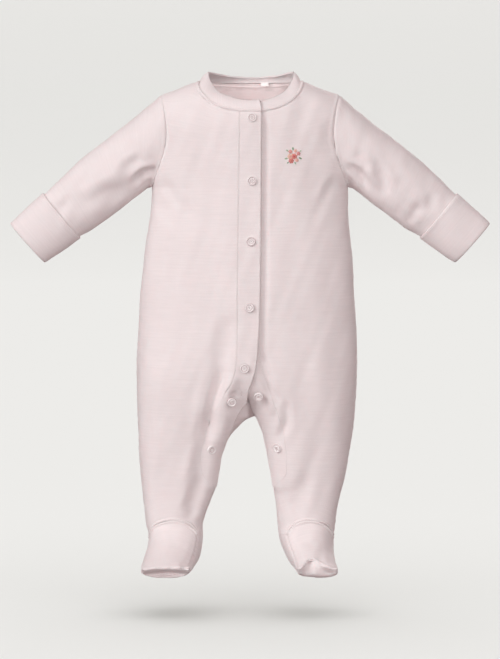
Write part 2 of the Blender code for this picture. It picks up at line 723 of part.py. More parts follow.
def arm_rings(side, upper_front, upper_back):
    """Rings that guide an arm: the armhole's own loop, then the ovals of ARM's sections."""
    loop = np.concatenate((upper_front[:, -1], upper_back[::-1, 0][1:-1]))
    count = len(upper_front) - 1
    angle = np.linspace(0.0, 2 * math.pi, 2 * count + 1)[:-1]
    rings = [loop]
    for k in range(len(ARM["top_x"])):
        top = np.array((side * ARM["top_x"][k], 0.0, ARM["top_z"][k]))
        low = np.array((side * ARM["low_x"][k], 0.0, ARM["low_z"][k]))
        depth = np.array((0.0, -ARM["depth"][k], 0.0))
        ring = (top + low) / 2 + np.cos(angle)[:, None] * (top - low) / 2 + np.sin(angle)[:, None] * depth
        rings.append(ring)
    return np.array(rings)


def arm_skin(side, rings, at):
    """Rings of the arm's outer face between the guide rings, with the arm's folds."""
    found = smooth(at, np.arange(len(rings), dtype=float), rings)
    depth = fold_depth(ARM_FOLDS, np.abs(found[..., 0]), found[..., 2], side)
    middle = found[..., 1].mean(axis=-1, keepdims=True)
    reach = np.abs(found[..., 1] - middle).max(axis=-1, keepdims=True)
    inward = -(found[..., 1] - middle) / reach
    grown = ease(np.asarray(at) / 1.0)[:, None]
    found[..., 1] += depth * np.where(inward > 0, inward, inward * 0.4) * grown
    return found


def ring_normals(rings):
    """Outward directions of rings that run along an arm."""
    along = np.gradient(rings, axis=0)
    around = np.roll(rings, -1, axis=1) - np.roll(rings, 1, axis=1)
    normal = np.cross(around, along)
    middle = rings.mean(axis=1, keepdims=True)
    normal *= np.sign((normal * (rings - middle)).sum(axis=-1, keepdims=True))
    return normal / np.linalg.norm(normal, axis=-1, keepdims=True)


def collar_rows(base):
    """Rows of the neckband: the neckline's points, a middle row and the open top."""
    spread = base[:, :2] - np.array(COLLAR_MIDDLE)
    depth = np.where(spread[:, 1] < 0, COLLAR_DEPTHS[0], COLLAR_DEPTHS[1])
    angle = np.arctan2(spread[:, 1] / depth, spread[:, 0] / NECK_HALF)
    reach = np.where(angle < 0, -COLLAR_REACH[0] + COLLAR_MIDDLE[1], COLLAR_REACH[1] - COLLAR_MIDDLE[1])
    x = COLLAR_MIDDLE[0] + COLLAR_HALF * np.cos(angle)
    y = COLLAR_MIDDLE[1] + reach * np.sin(angle)
    out = np.abs(np.cos(angle))
    front = COLLAR_TOP[1] + (COLLAR_TOP[0] - COLLAR_TOP[1]) * (1 - out ** NECK_POWER) ** (1 / NECK_POWER)
    back = COLLAR_TOP[1] + (COLLAR_TOP[2] - COLLAR_TOP[1]) * (1 - out ** 2)
    return np.stack((x, y, np.where(angle < 0, front, back)), axis=-1)


def collar_grid(chain, rise):
    """Grid of the neckband over the chain of neckline points, its right end raised over its left."""
    top = collar_rows(chain)
    tangent = np.gradient(chain, axis=0)
    normal = np.cross(tangent, top - chain)
    normal /= np.linalg.norm(normal, axis=-1, keepdims=True)
    away = chain - np.array((COLLAR_MIDDLE[0], COLLAR_MIDDLE[1], -20.0))
    normal *= np.sign((normal * away).sum(axis=-1, keepdims=True))
    middle = (chain + top) / 2 + normal * (COLLAR_BELLY + rise[:, None] / 2)
    return np.stack((chain, middle, top + normal * rise[:, None]))


# ---------------------------------------------------------------- walls

def weld(grids):
    """Join grids of points into one open surface, with coincident points merged."""
    surface = bmesh.new()
    for grid in grids:
        corners = [[surface.verts.new(point) for point in row] for row in grid]
        for upper, lower in zip(corners[:-1], corners[1:]):
            for c in range(len(upper) - 1):
                surface.faces.new((upper[c], upper[c + 1], lower[c + 1], lower[c]))
    bmesh.ops.remove_doubles(surface, verts=surface.verts, dist=WELD)
    surface.normal_update()
    surface.verts.ensure_lookup_table()
    surface.verts.index_update()
    return surface


def share_normals(surfaces):
    """Give the points of all the pieces one direction wherever they meet at a seam."""
    places = [vert.co.copy() for surface in surfaces.values() for vert in surface.verts]
    sums = []
    for surface in surfaces.values():
        for vert in surface.verts:
            total = Vector()
            for face in vert.link_faces:
                total += face.normal
            sums.append(total)
    tree = KDTree(len(places))
    for index, place in enumerate(places):
        tree.insert(place, index)
    tree.balance()
    normals = []
    for place in places:
        total = Vector()
        for _, index, _ in tree.find_range(place, 2 * WELD):
            total += sums[index]
        normals.append(total.normalized())
    found = {}
    start = 0
    for name, surface in surfaces.items():
        found[name] = normals[start:start + len(surface.verts)]
        start += len(surface.verts)
    return found


def seam_inset(vert, normal):
    """Step from a boundary point into its piece, half a seam's gap away from the rim's plane."""
    steps = []
    for edge in vert.link_edges:
        if not edge.is_boundary:
            continue
        face = edge.link_faces[0]
        middle = (edge.verts[0].co + edge.verts[1].co) / 2
        inward = face.normal.cross(edge.verts[1].co - edge.verts[0].co).normalized()
        if inward.dot(face.calc_center_median() - middle) < 0:
            inward.negate()
        slant = max((inward - normal * inward.dot(normal)).length, LEAST_SLANT)
        steps.append(inward * (SEAM_GAP / 2 / slant))
    if not steps:
        return Vector()
    if len(steps) == 1:
        return steps[0]
    share = 1 + steps[0].normalized().dot(steps[1].normalized())
    return (steps[0] + steps[1]) / max(share, 0.5)


def wall(surface, normals, thickness):
    """Close an open outer face into a wall, whose rims stand along the seams' shared normals."""
    solid = bmesh.new()
    outer = []
    inner = []
    for vert, normal in zip(surface.verts, normals):
        lean = sum(face.normal.dot(normal) for face in vert.link_faces) / len(vert.link_faces)
        place = vert.co + seam_inset(vert, normal)
        outer.append(solid.verts.new(place * MM))
        inner.append(solid.verts.new((place - normal * thickness / max(lean, LEAST_LEAN)) * MM))
    for face in surface.faces:
        loop = [vert.index for vert in face.verts]
        solid.faces.new([outer[k] for k in loop])
        solid.faces.new([inner[k] for k in reversed(loop)])
    for edge in surface.edges:
        if not edge.is_boundary:
            continue
        loop = edge.link_loops[0]
        a, b = loop.vert.index, loop.link_loop_next.vert.index
        solid.faces.new((outer[b], outer[a], inner[a], inner[b]))
    bmesh.ops.triangulate(solid, faces=solid.faces)
    return solid


def finish(name, solid, material, collection):
    """Make the closed solid an object of the collection, shaded smooth but for its rims."""
    mesh = bpy.data.meshes.new(name)
    solid.to_mesh(mesh)
    solid.free()
    mesh.materials.append(material)
    mesh.shade_smooth()
    mesh.set_sharp_from_angle(angle=math.radians(50))
    piece = bpy.data.objects.new(name, mesh)
    collection.objects.link(piece)
    return piece


# ---------------------------------------------------------------- the pieces

def make_materials():
    """One Principled material for each finish."""
    made = {}
    for name, (colour, roughness) in MATERIALS.items():
        material = bpy.data.materials.new(name)
        material.use_nodes = True
        shader = material.node_tree.nodes["Principled BSDF"]
        shader.inputs["Base Color"].default_value = colour
        shader.inputs["Roughness"].default_value = roughness
        material.diffuse_color = colour
        made[name] = material
    return made


def cloth_surfaces():
    """Open outer faces of all the cut pieces, each with its wall and finish."""
    surfaces = {}
    walls = {}
    necklines = {}
    back = []
    for name, side in SIDES.items():
        chest, front = front_grids(side)
        upper_back, lower_back, flap = back_grids(side)
        back += [facing_out(side, grid) for grid in (upper_back, lower_back, flap)]
        surfaces["front_" + name] = weld([facing_out(side, grid) for grid in (chest, front)])
        walls["front_" + name] = (CLOTH, "cloth")
        top, sole = foot_grids(side)
        surfaces["vamp_" + name] = weld([facing_out(side, top)])
        surfaces["sole_" + name] = weld([facing_out(side, sole)])
        band = placket_grid(side)
        surfaces["placket_" + name] = weld([facing_out(side, band)])
        for piece, thickness in (("vamp_", CLOTH), ("sole_", CLOTH), ("placket_", DOUBLED)):
            walls[piece + name] = (thickness, "cloth")
        bare = upper_grid(side, -1, FRONT_NECK_CELLS)
        rings = arm_rings(side, bare, upper_back)
        sleeve = arm_skin(side, rings, np.linspace(0.0, SLEEVE_END, SLEEVE_ROWS + 1))
        closed = np.concatenate((sleeve, sleeve[:, :1]), axis=1)
        surfaces["sleeve_" + name] = weld([closed if side > 0 else closed[:, ::-1]])
        walls["sleeve_" + name] = (CLOTH, "cloth")
        front_line = chest[0, :FRONT_NECK_CELLS + 1]
        back_line = upper_back[0, ::-1][:BACK_NECK_CELLS + 1]
        necklines[side] = (band[0], front_line, back_line)
    surfaces["back"] = weld(back)
    walls["back"] = (CLOTH, "cloth")
    surfaces["neckband"] = weld([neckband_grid(necklines)])
    walls["neckband"] = (BAND, "ribbing")
    surfaces["neck_label"] = weld([tab_grid()])
    walls["neck_label"] = (TAB_WALL, "tab")
    return surfaces, walls


def neckband_grid(necklines):
    """Grid of the neckband, chained from the right band's edge round the back to the left one's."""
    right_band, right_front, right_back = necklines[-1]
    left_band, left_front, left_back = necklines[1]
    chain = np.concatenate((
        right_band,
        right_front[1:],
        right_back[-2::-1],
        left_back[1:],
        left_front[-2::-1],
        left_band[-2::-1],
    ))
    raised = len(right_band)
    rise = np.zeros(len(chain))
    rise[:raised] = DOUBLED + LAYER_GAP
    rise[raised:raised + 4] = (DOUBLED + LAYER_GAP) * ease(1 - np.arange(1, 5) / 5.0)
    return collar_grid(chain, rise)[::-1]


def tab_grid():
    """Grid of the neck tab, inside the back of the neck."""
    x, z = np.meshgrid(np.linspace(*TAB_X, 4), np.linspace(TAB_Z[1], TAB_Z[0], 2))
    points = np.stack((x, chest_y(x, z, 1), z), axis=-1)
    return points - np.array((0.0, TAB_INSET, 0.0))


def make_cuff(side, rings):
    """Closed section of the fold-back cuff, carried round the arm.

    The section runs from the sleeve's end along the arm to the hand, turns, and comes back outside
    the sleeve to the cuff's free edge. Its heights are above the arm's skin.
    """
    outer = CUFF_STEP + CUFF_LAYER
    first = SLEEVE_END + 0.012
    section = table(
        "at                height",
        (first,            0.0),
        (8.2,              0.0),
        (CUFF_END - 0.04,  0.05),
        (CUFF_END,         CUFF_STEP / 2),
        (CUFF_END - 0.04,  CUFF_STEP - 0.05),
        (8.2,              CUFF_STEP),
        (7.6,              CUFF_STEP),
        (CUFF_EDGE,        CUFF_STEP),
        (CUFF_EDGE,        outer),
        (7.6,              outer),
        (8.2,              outer),
        (CUFF_END,         outer - 0.2),
        (CUFF_END + 0.07,  CUFF_STEP / 2),
        (CUFF_END,         -CUFF_LAYER + 0.4),
        (8.2,              -CLOTH),
        (first,            -CLOTH),
    )
    fine = np.linspace(0.0, CUFF_END, 91)
    skin_rings = arm_skin(side, rings, fine)
    normals = ring_normals(skin_rings)
    at = np.minimum(section["at"], CUFF_END)
    beyond = (section["at"] - at)[:, None, None]
    points = smooth(at, fine, skin_rings)
    direction = smooth(at, fine, normals)
    forward = skin_rings[-1] - skin_rings[-11]
    direction /= np.linalg.norm(direction, axis=-1, keepdims=True)
    placed = points + forward * beyond + direction * section["height"][:, None, None]
    solid = bmesh.new()
    verts = [[solid.verts.new(point * MM) for point in ring] for ring in placed]
    count = len(verts[0])
    for a, b in zip(verts, verts[1:] + verts[:1]):
        for k in range(count):
            solid.faces.new((a[k], a[(k + 1) % count], b[(k + 1) % count], b[k]))
    bmesh.ops.triangulate(solid, faces=solid.faces)
    bmesh.ops.recalc_face_normals(solid, faces=solid.faces)
    return solid


def make_snap(name, drop, x, band, material, collection):
    """A ring snap, turned from its profile, on the outer face of its band.

    It stands over the highest point of the cloth under its rim.
    """
    leg = 0
    if drop > CROTCH - LEG_START:
        leg = -1 if band == "top" else 1
    round_rim = np.linspace(0.0, 2 * math.pi, 17)[:-1]
    radius = SNAP_PROFILE["radius"].max()
    rim_x = x + np.append(0.0, radius * np.cos(round_rim))
    rim_drop = drop + np.append(0.0, radius * np.sin(round_rim))
    facing = front_normal(rim_drop, rim_x, leg)
    cloth = front_place(rim_drop, rim_x, leg) + facing * band_lift(rim_drop, band)
    normal = facing.mean(axis=0)
    normal /= np.linalg.norm(normal)
    place = cloth[0] + normal * (((cloth - cloth[0]) @ normal).max() + SNAP_SEAT)
    mesh = bpy.data.meshes.new(name)
    profile = [(radius * MM, 0.0, height * MM) for radius, height in zip(*SNAP_PROFILE.values())]
    mesh.from_pydata(profile, [(k, k + 1) for k in range(len(profile) - 1)], [])
    mesh.materials.append(material)
    snap = bpy.data.objects.new(name, mesh)
    turned = snap.modifiers.new("Turned", "SCREW")
    turned.axis = "Z"
    turned.steps = 18
    turned.render_steps = 18
    turned.use_merge_vertices = True
    turned.merge_threshold = 0.00005
    collection.objects.link(snap)
    turn = Vector(normal).to_track_quat("Z", "Y").to_matrix().to_4x4()
    snap.matrix_world = Matrix.Translation(Vector(place) * MM) @ turn
    return snap


def main():
    """Clear the scene and make every piece."""
    for item in list(bpy.data.objects):
        bpy.data.objects.remove(item)
    collection = bpy.data.collections.new("footed_sleepsuit")
    bpy.context.scene.collection.children.link(collection)
    materials = make_materials()
    surfaces, walls = cloth_surfaces()
    normals = share_normals(surfaces)
    for name, surface in surfaces.items():
        thickness, finish_name = walls[name]
        solid = wall(surface, normals[name], thickness)
        finish(name, solid, materials[finish_name], collection)
        surface.free()
    for name, side in SIDES.items():
        rings = arm_rings(side, upper_grid(side, -1, FRONT_NECK_CELLS), back_grids(side)[0])
        finish("cuff_" + name, make_cuff(side, rings), materials["ribbing"], collection)
    for name, (drop, x, band) in SNAPS.items():
        make_snap(name, drop, x, band, materials["snap"], collection)


main()
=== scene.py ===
"""Footed baby sleepsuit: knit cloth, sewing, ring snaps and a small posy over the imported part.

The frame: +X is the wearer's left, +Y the wearer's back and +Z up. Shapes are worked out in
millimetres and become metres when a mesh is made. The garment's outer face is one skin, and each cut
piece is a fine stretch of it with its creases, its seams' dips and a wall.
"""
import math

import bpy
import numpy as np
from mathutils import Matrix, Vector


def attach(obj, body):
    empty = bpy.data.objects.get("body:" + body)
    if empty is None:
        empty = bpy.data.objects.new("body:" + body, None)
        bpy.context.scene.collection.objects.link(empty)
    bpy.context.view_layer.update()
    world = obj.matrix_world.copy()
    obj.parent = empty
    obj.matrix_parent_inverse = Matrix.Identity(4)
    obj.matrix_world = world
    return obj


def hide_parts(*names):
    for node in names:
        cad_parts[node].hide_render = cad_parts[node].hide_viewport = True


bl_info = {
    "name": "Footed Sleepsuit",
    "version": (1, 0, 0),
    "blender": (4, 5, 0),
    "location": "View3D > Sidebar > Sleepsuit",
    "description": "Makes the cloth, sewing, snaps and posy of a footed baby sleepsuit",
    "category": "Object",
}

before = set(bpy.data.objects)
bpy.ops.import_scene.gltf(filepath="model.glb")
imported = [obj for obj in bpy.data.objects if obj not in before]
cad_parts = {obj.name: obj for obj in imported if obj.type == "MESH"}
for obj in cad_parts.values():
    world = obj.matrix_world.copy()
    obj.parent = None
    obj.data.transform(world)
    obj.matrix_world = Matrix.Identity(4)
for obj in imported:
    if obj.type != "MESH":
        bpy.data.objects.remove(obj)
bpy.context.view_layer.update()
MM = 0.001

# ---------------------------------------------------------------- tables and easing


def table(header, *rows):
    """Return the columns named in the header, each an array with one value a row."""
    columns = np.array(rows, dtype=float).T
    return dict(zip(header.split(), columns))


def knot_slopes(knots, values):
    """Slope at each knot: the harmonic mean of the two chords, or none where they turn back."""
    gaps = np.diff(knots).reshape((-1,) + (1,) * (values.ndim - 1))
    chords = np.diff(values, axis=0) / gaps
    product = chords[:-1] * chords[1:]
    total = chords[:-1] + chords[1:]
    inner = np.where(product > 0, 2 * product / np.where(total == 0, 1.0, total), 0.0)
    return np.concatenate((chords[:1], inner, chords[-1:]))


def smooth(at, knots, values):
    """Read values between their knots by cubics that never swing past a knot."""
    at = np.asarray(at, dtype=float)
    slopes = knot_slopes(knots, values)
    k = np.clip(np.searchsorted(knots, at) - 1, 0, len(knots) - 2)
    step = knots[k + 1] - knots[k]
    t = np.clip((at - knots[k]) / step, 0.0, 1.0)
    while t.ndim < values[k].ndim:
        t = t[..., None]
        step = step[..., None]
    low = (1 + 2 * t) * (1 - t) ** 2 * values[k] + t * (1 - t) ** 2 * step * slopes[k]
    high = t * t * (3 - 2 * t) * values[k + 1] + t * t * (t - 1) * step * slopes[k + 1]
    return low + high


def ease(t):
    """Go from 0 to 1 with level ends: 3 t squared less 2 t cubed."""
    t = np.clip(t, 0.0, 1.0)
    return t * t * (3 - 2 * t)


def window(at, start, full, last, end):
    """Rise softly from 0 at start to 1 at full, and fall softly from last to end."""
    return ease((at - start) / (full - start)) * ease((end - at) / (end - last))


def bell(at, middle, width):
    """A bell that is 1 at its middle and 1/e a width away."""
    return np.exp(-((at - middle) / width) ** 2)


def blend(first, second, part):
    """Straight blend: first times 1 - part, plus second times part."""
    return first * (1 - part) + second * part


def unit(ways):
    """Directions of length 1."""
    return ways / np.maximum(np.linalg.norm(ways, axis=-1, keepdims=True), TINY)


# ---------------------------------------------------------------- the garment's sizes

TINY = 1e-9
FAR = 1e3

# Thicknesses of the cloth, and how the layers of the closing lie.
CLOTH = 1.4
DOUBLED = 2.0
BAND = 2.0
LAYER_GAP = 0.6
UNDER_SINK = 1.5
SEWN = 0.04
FREE = 0.45

# Heights: drops are measured down from the neck's sides, and Z is a drop's negative.
UNDERARM = 121.0
YOKE = 60.0
OPEN_TOP = 300.0
OPENING = 274.0
CROTCH = 369.0
CROTCH_X = 4.9
ANKLE = 500.0
TOE = 600.0
VAMP_RISE = 20.0
VAMP_MIDDLE = 0.42
VAMP_MIDDLE_Z = 489.0
FOOT_WELT = 0.5
CLOSING_END = 442.0
TONGUE_TOP = 336.0
DROPS = np.arange(0.0, TOE + 1.0)

# The neckline and the shoulder's tip.
NECK_DROP = 40.0
NECK_HALF = 54.5
NECK_SIDE_Z = -7.0
NECK_FRONT_Z = -38.0
NECK_BACK_Z = -10.0
NECK_CROWN = 18.0
NECK_POWER = 2.05
TIP_X = 96.0
TIP_Z = -23.0
SIDES = {"right": -1, "left": 1}
NAMES = {-1: "right", 1: "left"}
SEWN_LINES = {-1: "top_sewn", 1: "low_sewn"}
LAYERS = {-1: "top", 1: "low"}

# How finely the skin and the pieces are cut.
LEVEL_SAMPLES = 161
EVEN = 240
FINE = 6
NECK_ROWS = 46
EVENING_ROUNDS = 900
FRONT_NECK_CELLS = 6
BACK_NECK_CELLS = 4
SHOULDER_CELLS = 5
SIDE_CELLS = BACK_NECK_CELLS + SHOULDER_CELLS
UNDER_CELLS = 2
FRONT_CELLS = FRONT_NECK_CELLS + SHOULDER_CELLS
ARM_CELLS = 5
CAP_CELLS = 6
ROW_GROWTH = 1.3

# Levels of the body and legs: how far each lies below the shoulder, the outer sides' X, and how far
# the cloth reaches to the front and back.
LEVELS = table(
    "drop   right    left     front_y  back_y",
    (0,     -112.0,  112.0,   -43.0,   39.0),
    (60,    -112.0,  112.0,   -45.0,   41.0),
    (121,   -105.0,  105.0,   -46.5,   41.0),
    (137,   -105.8,  105.0,   -47.5,   40.5),
    (190,   -113.0,  109.5,   -51.5,   40.0),
    (243,   -117.7,  112.3,   -54.0,   41.5),
    (295,   -121.0,  115.6,   -54.5,   46.0),
    (320,   -122.8,  115.0,   -53.0,   48.5),
    (355,   -121.8,  113.8,   -48.0,   47.5),
    (390,   -120.6,  110.2,   -40.0,   42.0),
    (424,   -118.8,  104.8,   -34.0,   36.0),
    (459,   -115.4,  96.3,    -29.5,   31.0),
    (474,   -113.6,  93.0,    -28.0,   29.0),
)
FEET = table(
    "drop  right    left    front_y  front_z  back_y  back_z",
    (487,  -112.0,  91.6,   -27.5,   -484.5,  27.0,   -489.0),
    (500,  -109.5,  90.4,   -33.0,   -492.5,  29.0,   -506.0),
    (515,  -110.5,  90.2,   -41.0,   -501.0,  26.5,   -522.0),
    (530,  -113.0,  91.0,   -49.0,   -507.5,  13.0,   -532.5),
    (545,  -115.0,  92.0,   -57.0,   -512.5,  -8.0,   -536.0),
    (560,  -116.0,  92.8,   -64.0,   -516.5,  -32.0,  -537.5),
    (575,  -116.0,  93.2,   -69.5,   -519.8,  -54.0,  -537.0),
    (590,  -115.0,  92.8,   -73.0,   -522.5,  -70.0,  -533.5),
    (600,  -114.0,  92.2,   -74.5,   -524.5,  -74.5,  -524.5),
)
MIDDLE = table(
    "drop   x",
    (0,     1.5),
    (121,   1.5),
    (190,   0.5),
    (243,   -0.5),
    (295,   -2.0),
    (320,   -2.5),
    (345,   0.5),
    (369,   CROTCH_X),
)
INNER = table(
    "drop   right    left",
    (369,   CROTCH_X, CROTCH_X),
    (373,   -4.0,    8.0),
    (381,   -13.5,   12.3),
    (390,   -21.5,   15.6),
    (407,   -29.5,   18.8),
    (424,   -32.4,   21.6),
    (442,   -35.8,   24.0),
    (459,   -42.0,   27.0),
    (476,   -48.4,   29.2),
    (487,   -51.0,   30.3),
    (500,   -50.6,   31.6),
    (515,   -52.0,   35.0),
    (530,   -55.0,   40.0),
    (545,   -58.5,   44.5),
    (560,   -61.5,   48.0),
    (575,   -63.5,   50.5),
    (590,   -64.5,   51.5),
    (600,   -65.0,   52.0),
)
ROUNDNESS = table(
    "drop   power",
    (0,     2.35),
    (300,   2.35),
    (369,   2.5),
    (400,   2.7),
    (470,   2.6),
    (510,   2.3),
    (600,   2.3),
)
CHEST = table(
    "drop   half",
    (0,     112.0),
    (60,    112.0),
    (95,    111.0),
    (105,   109.5),
    (115,   107.0),
    (121,   105.0),
)
ARMHOLE = table(
    "drop   front   back",
    (23,    96.0,   96.0),
    (45,    91.0,   93.0),
    (64,    89.3,   92.0),
    (83,    91.8,   93.5),
    (97,    96.5,   97.5),
    (106,   100.0,  100.5),
    (115,   103.0,  103.2),
    (121,   105.0,  105.0),
)
CLOSING = table(
    "drop   top_edge  top_sewn  low_edge  low_sewn  under_right  under_left",
    (0,     12.9,     -10.1,    -9.4,     12.0,     -12.0,       12.0),
    (186,   11.7,     -12.6,    -11.9,    11.4,     -12.0,       12.0),
    (243,   10.9,     -13.2,    -12.5,    10.6,     -12.0,       12.0),
    (293,   8.7,      -13.4,    -12.7,    9.0,      -12.0,       12.0),
    (314,   6.2,      -15.4,    -12.2,    12.5,     -12.0,       10.0),
    (323,   3.2,      -18.6,    -11.2,    15.8,     -12.0,       8.0),
    (334,   -0.9,     -24.6,    -8.2,     20.0,     -12.0,       8.0),
    (344.5, -3.9,     -30.0,    -4.2,     24.0,     -18.0,       12.0),
    (354,   -10.0,    -35.5,    1.9,      27.8,     -26.5,       17.0),
    (363,   -14.2,    -40.0,    6.0,      31.0,     -32.0,       21.0),
    (374,   -18.2,    -44.0,    11.4,     34.2,     -37.0,       26.0),
    (385,   -23.2,    -47.5,    15.6,     36.8,     -40.0,       29.5),
    (398,   -28.2,    -50.5,    18.6,     38.8,     -43.0,       31.5),
    (410,   -32.6,    -53.0,    20.8,     40.2,     -45.0,       33.0),
    (426,   -35.2,    -52.0,    23.2,     40.0,     -45.5,       34.0),
    (442,   -38.0,    -41.0,    26.2,     29.0,     -38.0,       26.2),
)
INSEAM = table(
    "drop   right    left",
    (442,   -38.0,   26.2),
    (459,   -45.0,   29.8),
    (476,   -51.4,   32.6),
    (487,   -54.4,   36.4),
    (500,   -56.6,   39.6),
    (515,   -57.8,   42.0),
    (530,   -59.6,   45.0),
    (560,   -63.4,   49.5),
    (600,   -65.0,   52.0),
)
LIFTS = table(
    "drop   top                          low",
    (0,     DOUBLED + LAYER_GAP,         0.0),
    (296,   DOUBLED + LAYER_GAP,         0.0),
    (326,   2 * (DOUBLED + LAYER_GAP),   DOUBLED + LAYER_GAP),
    (352,   2 * (DOUBLED + LAYER_GAP),   DOUBLED + LAYER_GAP),
    (376,   DOUBLED + LAYER_GAP,         DOUBLED + LAYER_GAP),
    (442,   DOUBLED + LAYER_GAP,         DOUBLED + LAYER_GAP),
    (452,   0.0,                         0.0),
    (600,   0.0,                         0.0),
)
LIFT_FADE = 34.0

# The gutter beside the closing's free edge: its depth, its place and width, and the drops it runs over.
GUTTER = 3.0
GUTTER_BESIDE = (4.0, 3.6)
GUTTER_DROPS = (42.0, 56.0, 310.0, 350.0)

# The hips: how many mm of drop their levels are blended over, where, and how near the inner ends.
SOFT_HIPS = 13.0
HIP_DROPS = (230.0, 300.0, 400.0, 470.0)
HIP_INNER = 0.13

# The closing bands: how far they are softened sideways and by what shares, where the soft middle goes
# over to each leg, and where both are evened out.
BAND_SOFT = 7.0
BAND_SOFT_DROPS = (290.0, 320.0)
BAND_BLUR = ((-1.0, 0.125), (-0.5, 0.25), (0.0, 0.25), (0.5, 0.25), (1.0, 0.125))
BAND_LEG_DROPS = (332.0, 364.0)
BAND_EVEN_DROPS = (322.0, 334.0, 375.0, 395.0)
BAND_EVEN_ROUNDS = 8
BAND_END = 6.0
SEAM_PULL = 14.0
SPAN_HALF = 10.0
SPAN_LEAST = 0.1
SPAN_END = 340.0
SPAN_FADE = 20.0
ARM = table(
    "top_x   top_z    low_x    low_z    depth",
    (112.0,  -36.5,   109.5,   -121.8,  31.5),
    (130.0,  -51.0,   115.0,   -126.0,  31.0),
    (149.0,  -66.0,   126.0,   -134.5,  30.0),
    (167.0,  -79.5,   140.0,   -145.5,  28.5),
    (184.7,  -93.8,   155.0,   -156.5,  26.0),
    (203.0,  -111.5,  169.5,   -166.8,  23.0),
    (221.5,  -129.0,  183.5,   -174.5,  19.5),
    (240.5,  -146.0,  203.0,   -188.5,  17.0),
    (256.5,  -161.0,  221.5,   -200.5,  15.0),
)

# Places along the arm, in steps of ARM's rows: the cuff's free edge, its fold and the sleeve's end.
CUFF_EDGE = 7.0
CUFF_END = 9.0
SLEEVE_END = 7.45
CUFF_LAYER = 1.6
CUFF_STEP = 0.5
FRONT_FOLDS = table(
    "x0      z0      x1      z1      depth  width",
    (-30,    -285,   -42,    -345,   3.0,   13),
    (-42,    -345,   -60,    -412,   3.5,   12),
    (-12,    -352,   -30,    -322,   -1.8,  9),
    (30,     -345,   42,     -398,   3.2,   12),
    (10,     -300,   34,     -330,   1.8,   12),
    (-48,    -425,   -68,    -478,   3.2,   9),
    (62,     -430,   45,     -470,   2.2,   9),
    (-98,    -128,   -60,    -150,   1.6,   10),
    (98,     -124,   70,     -150,   1.8,   10),
)
BACK_FOLDS = table(
    "x0      z0      x1      z1      depth  width",
    (-70,    -318,   70,     -312,   2.4,   16),
    (-30,    -350,   -76,    -372,   3.0,   12),
    (34,     -352,   74,     -380,   3.0,   12),
    (-96,    -130,   -58,    -168,   2.4,   12),
    (96,     -130,   62,     -160,   2.2,   12),
    (-60,    -440,   -92,    -470,   2.4,   10),
    (44,     -438,   78,     -462,   2.2,   10),
)
ARM_FOLDS = table(
    "side  x0      z0      x1      z1      depth  width",
    (-1,   118,    -108,   150,    -140,   4.0,   9),
    (-1,   170,    -112,   206,    -150,   1.8,   9),
    (1,    114,    -106,   134,    -128,   4.0,   8),
    (1,    138,    -102,   150,    -130,   2.4,   8),
    (1,    178,    -150,   196,    -134,   1.8,   8),
)

# The neckband's open top: half its width, its middle, its depths and reach to the front and back, the
# heights of its front, sides and back, its belly, and how far the raised end runs.
COLLAR_HALF = 45.0
COLLAR_MIDDLE = (1.0, -4.5)
COLLAR_DEPTHS = (38.0, 33.0)
COLLAR_REACH = (-35.0, 26.0)
COLLAR_TOP = (-29.5, 3.0, -2.6)
COLLAR_BELLY = 1.6
COLLAR_FADE = 54.0
TURNED_IN = -0.045

# The blank tab inside the neck.
TAB_X = (11.6, 20.2)
TAB_Z = (-13.2, -9.0)
TAB_INSET = 2.7

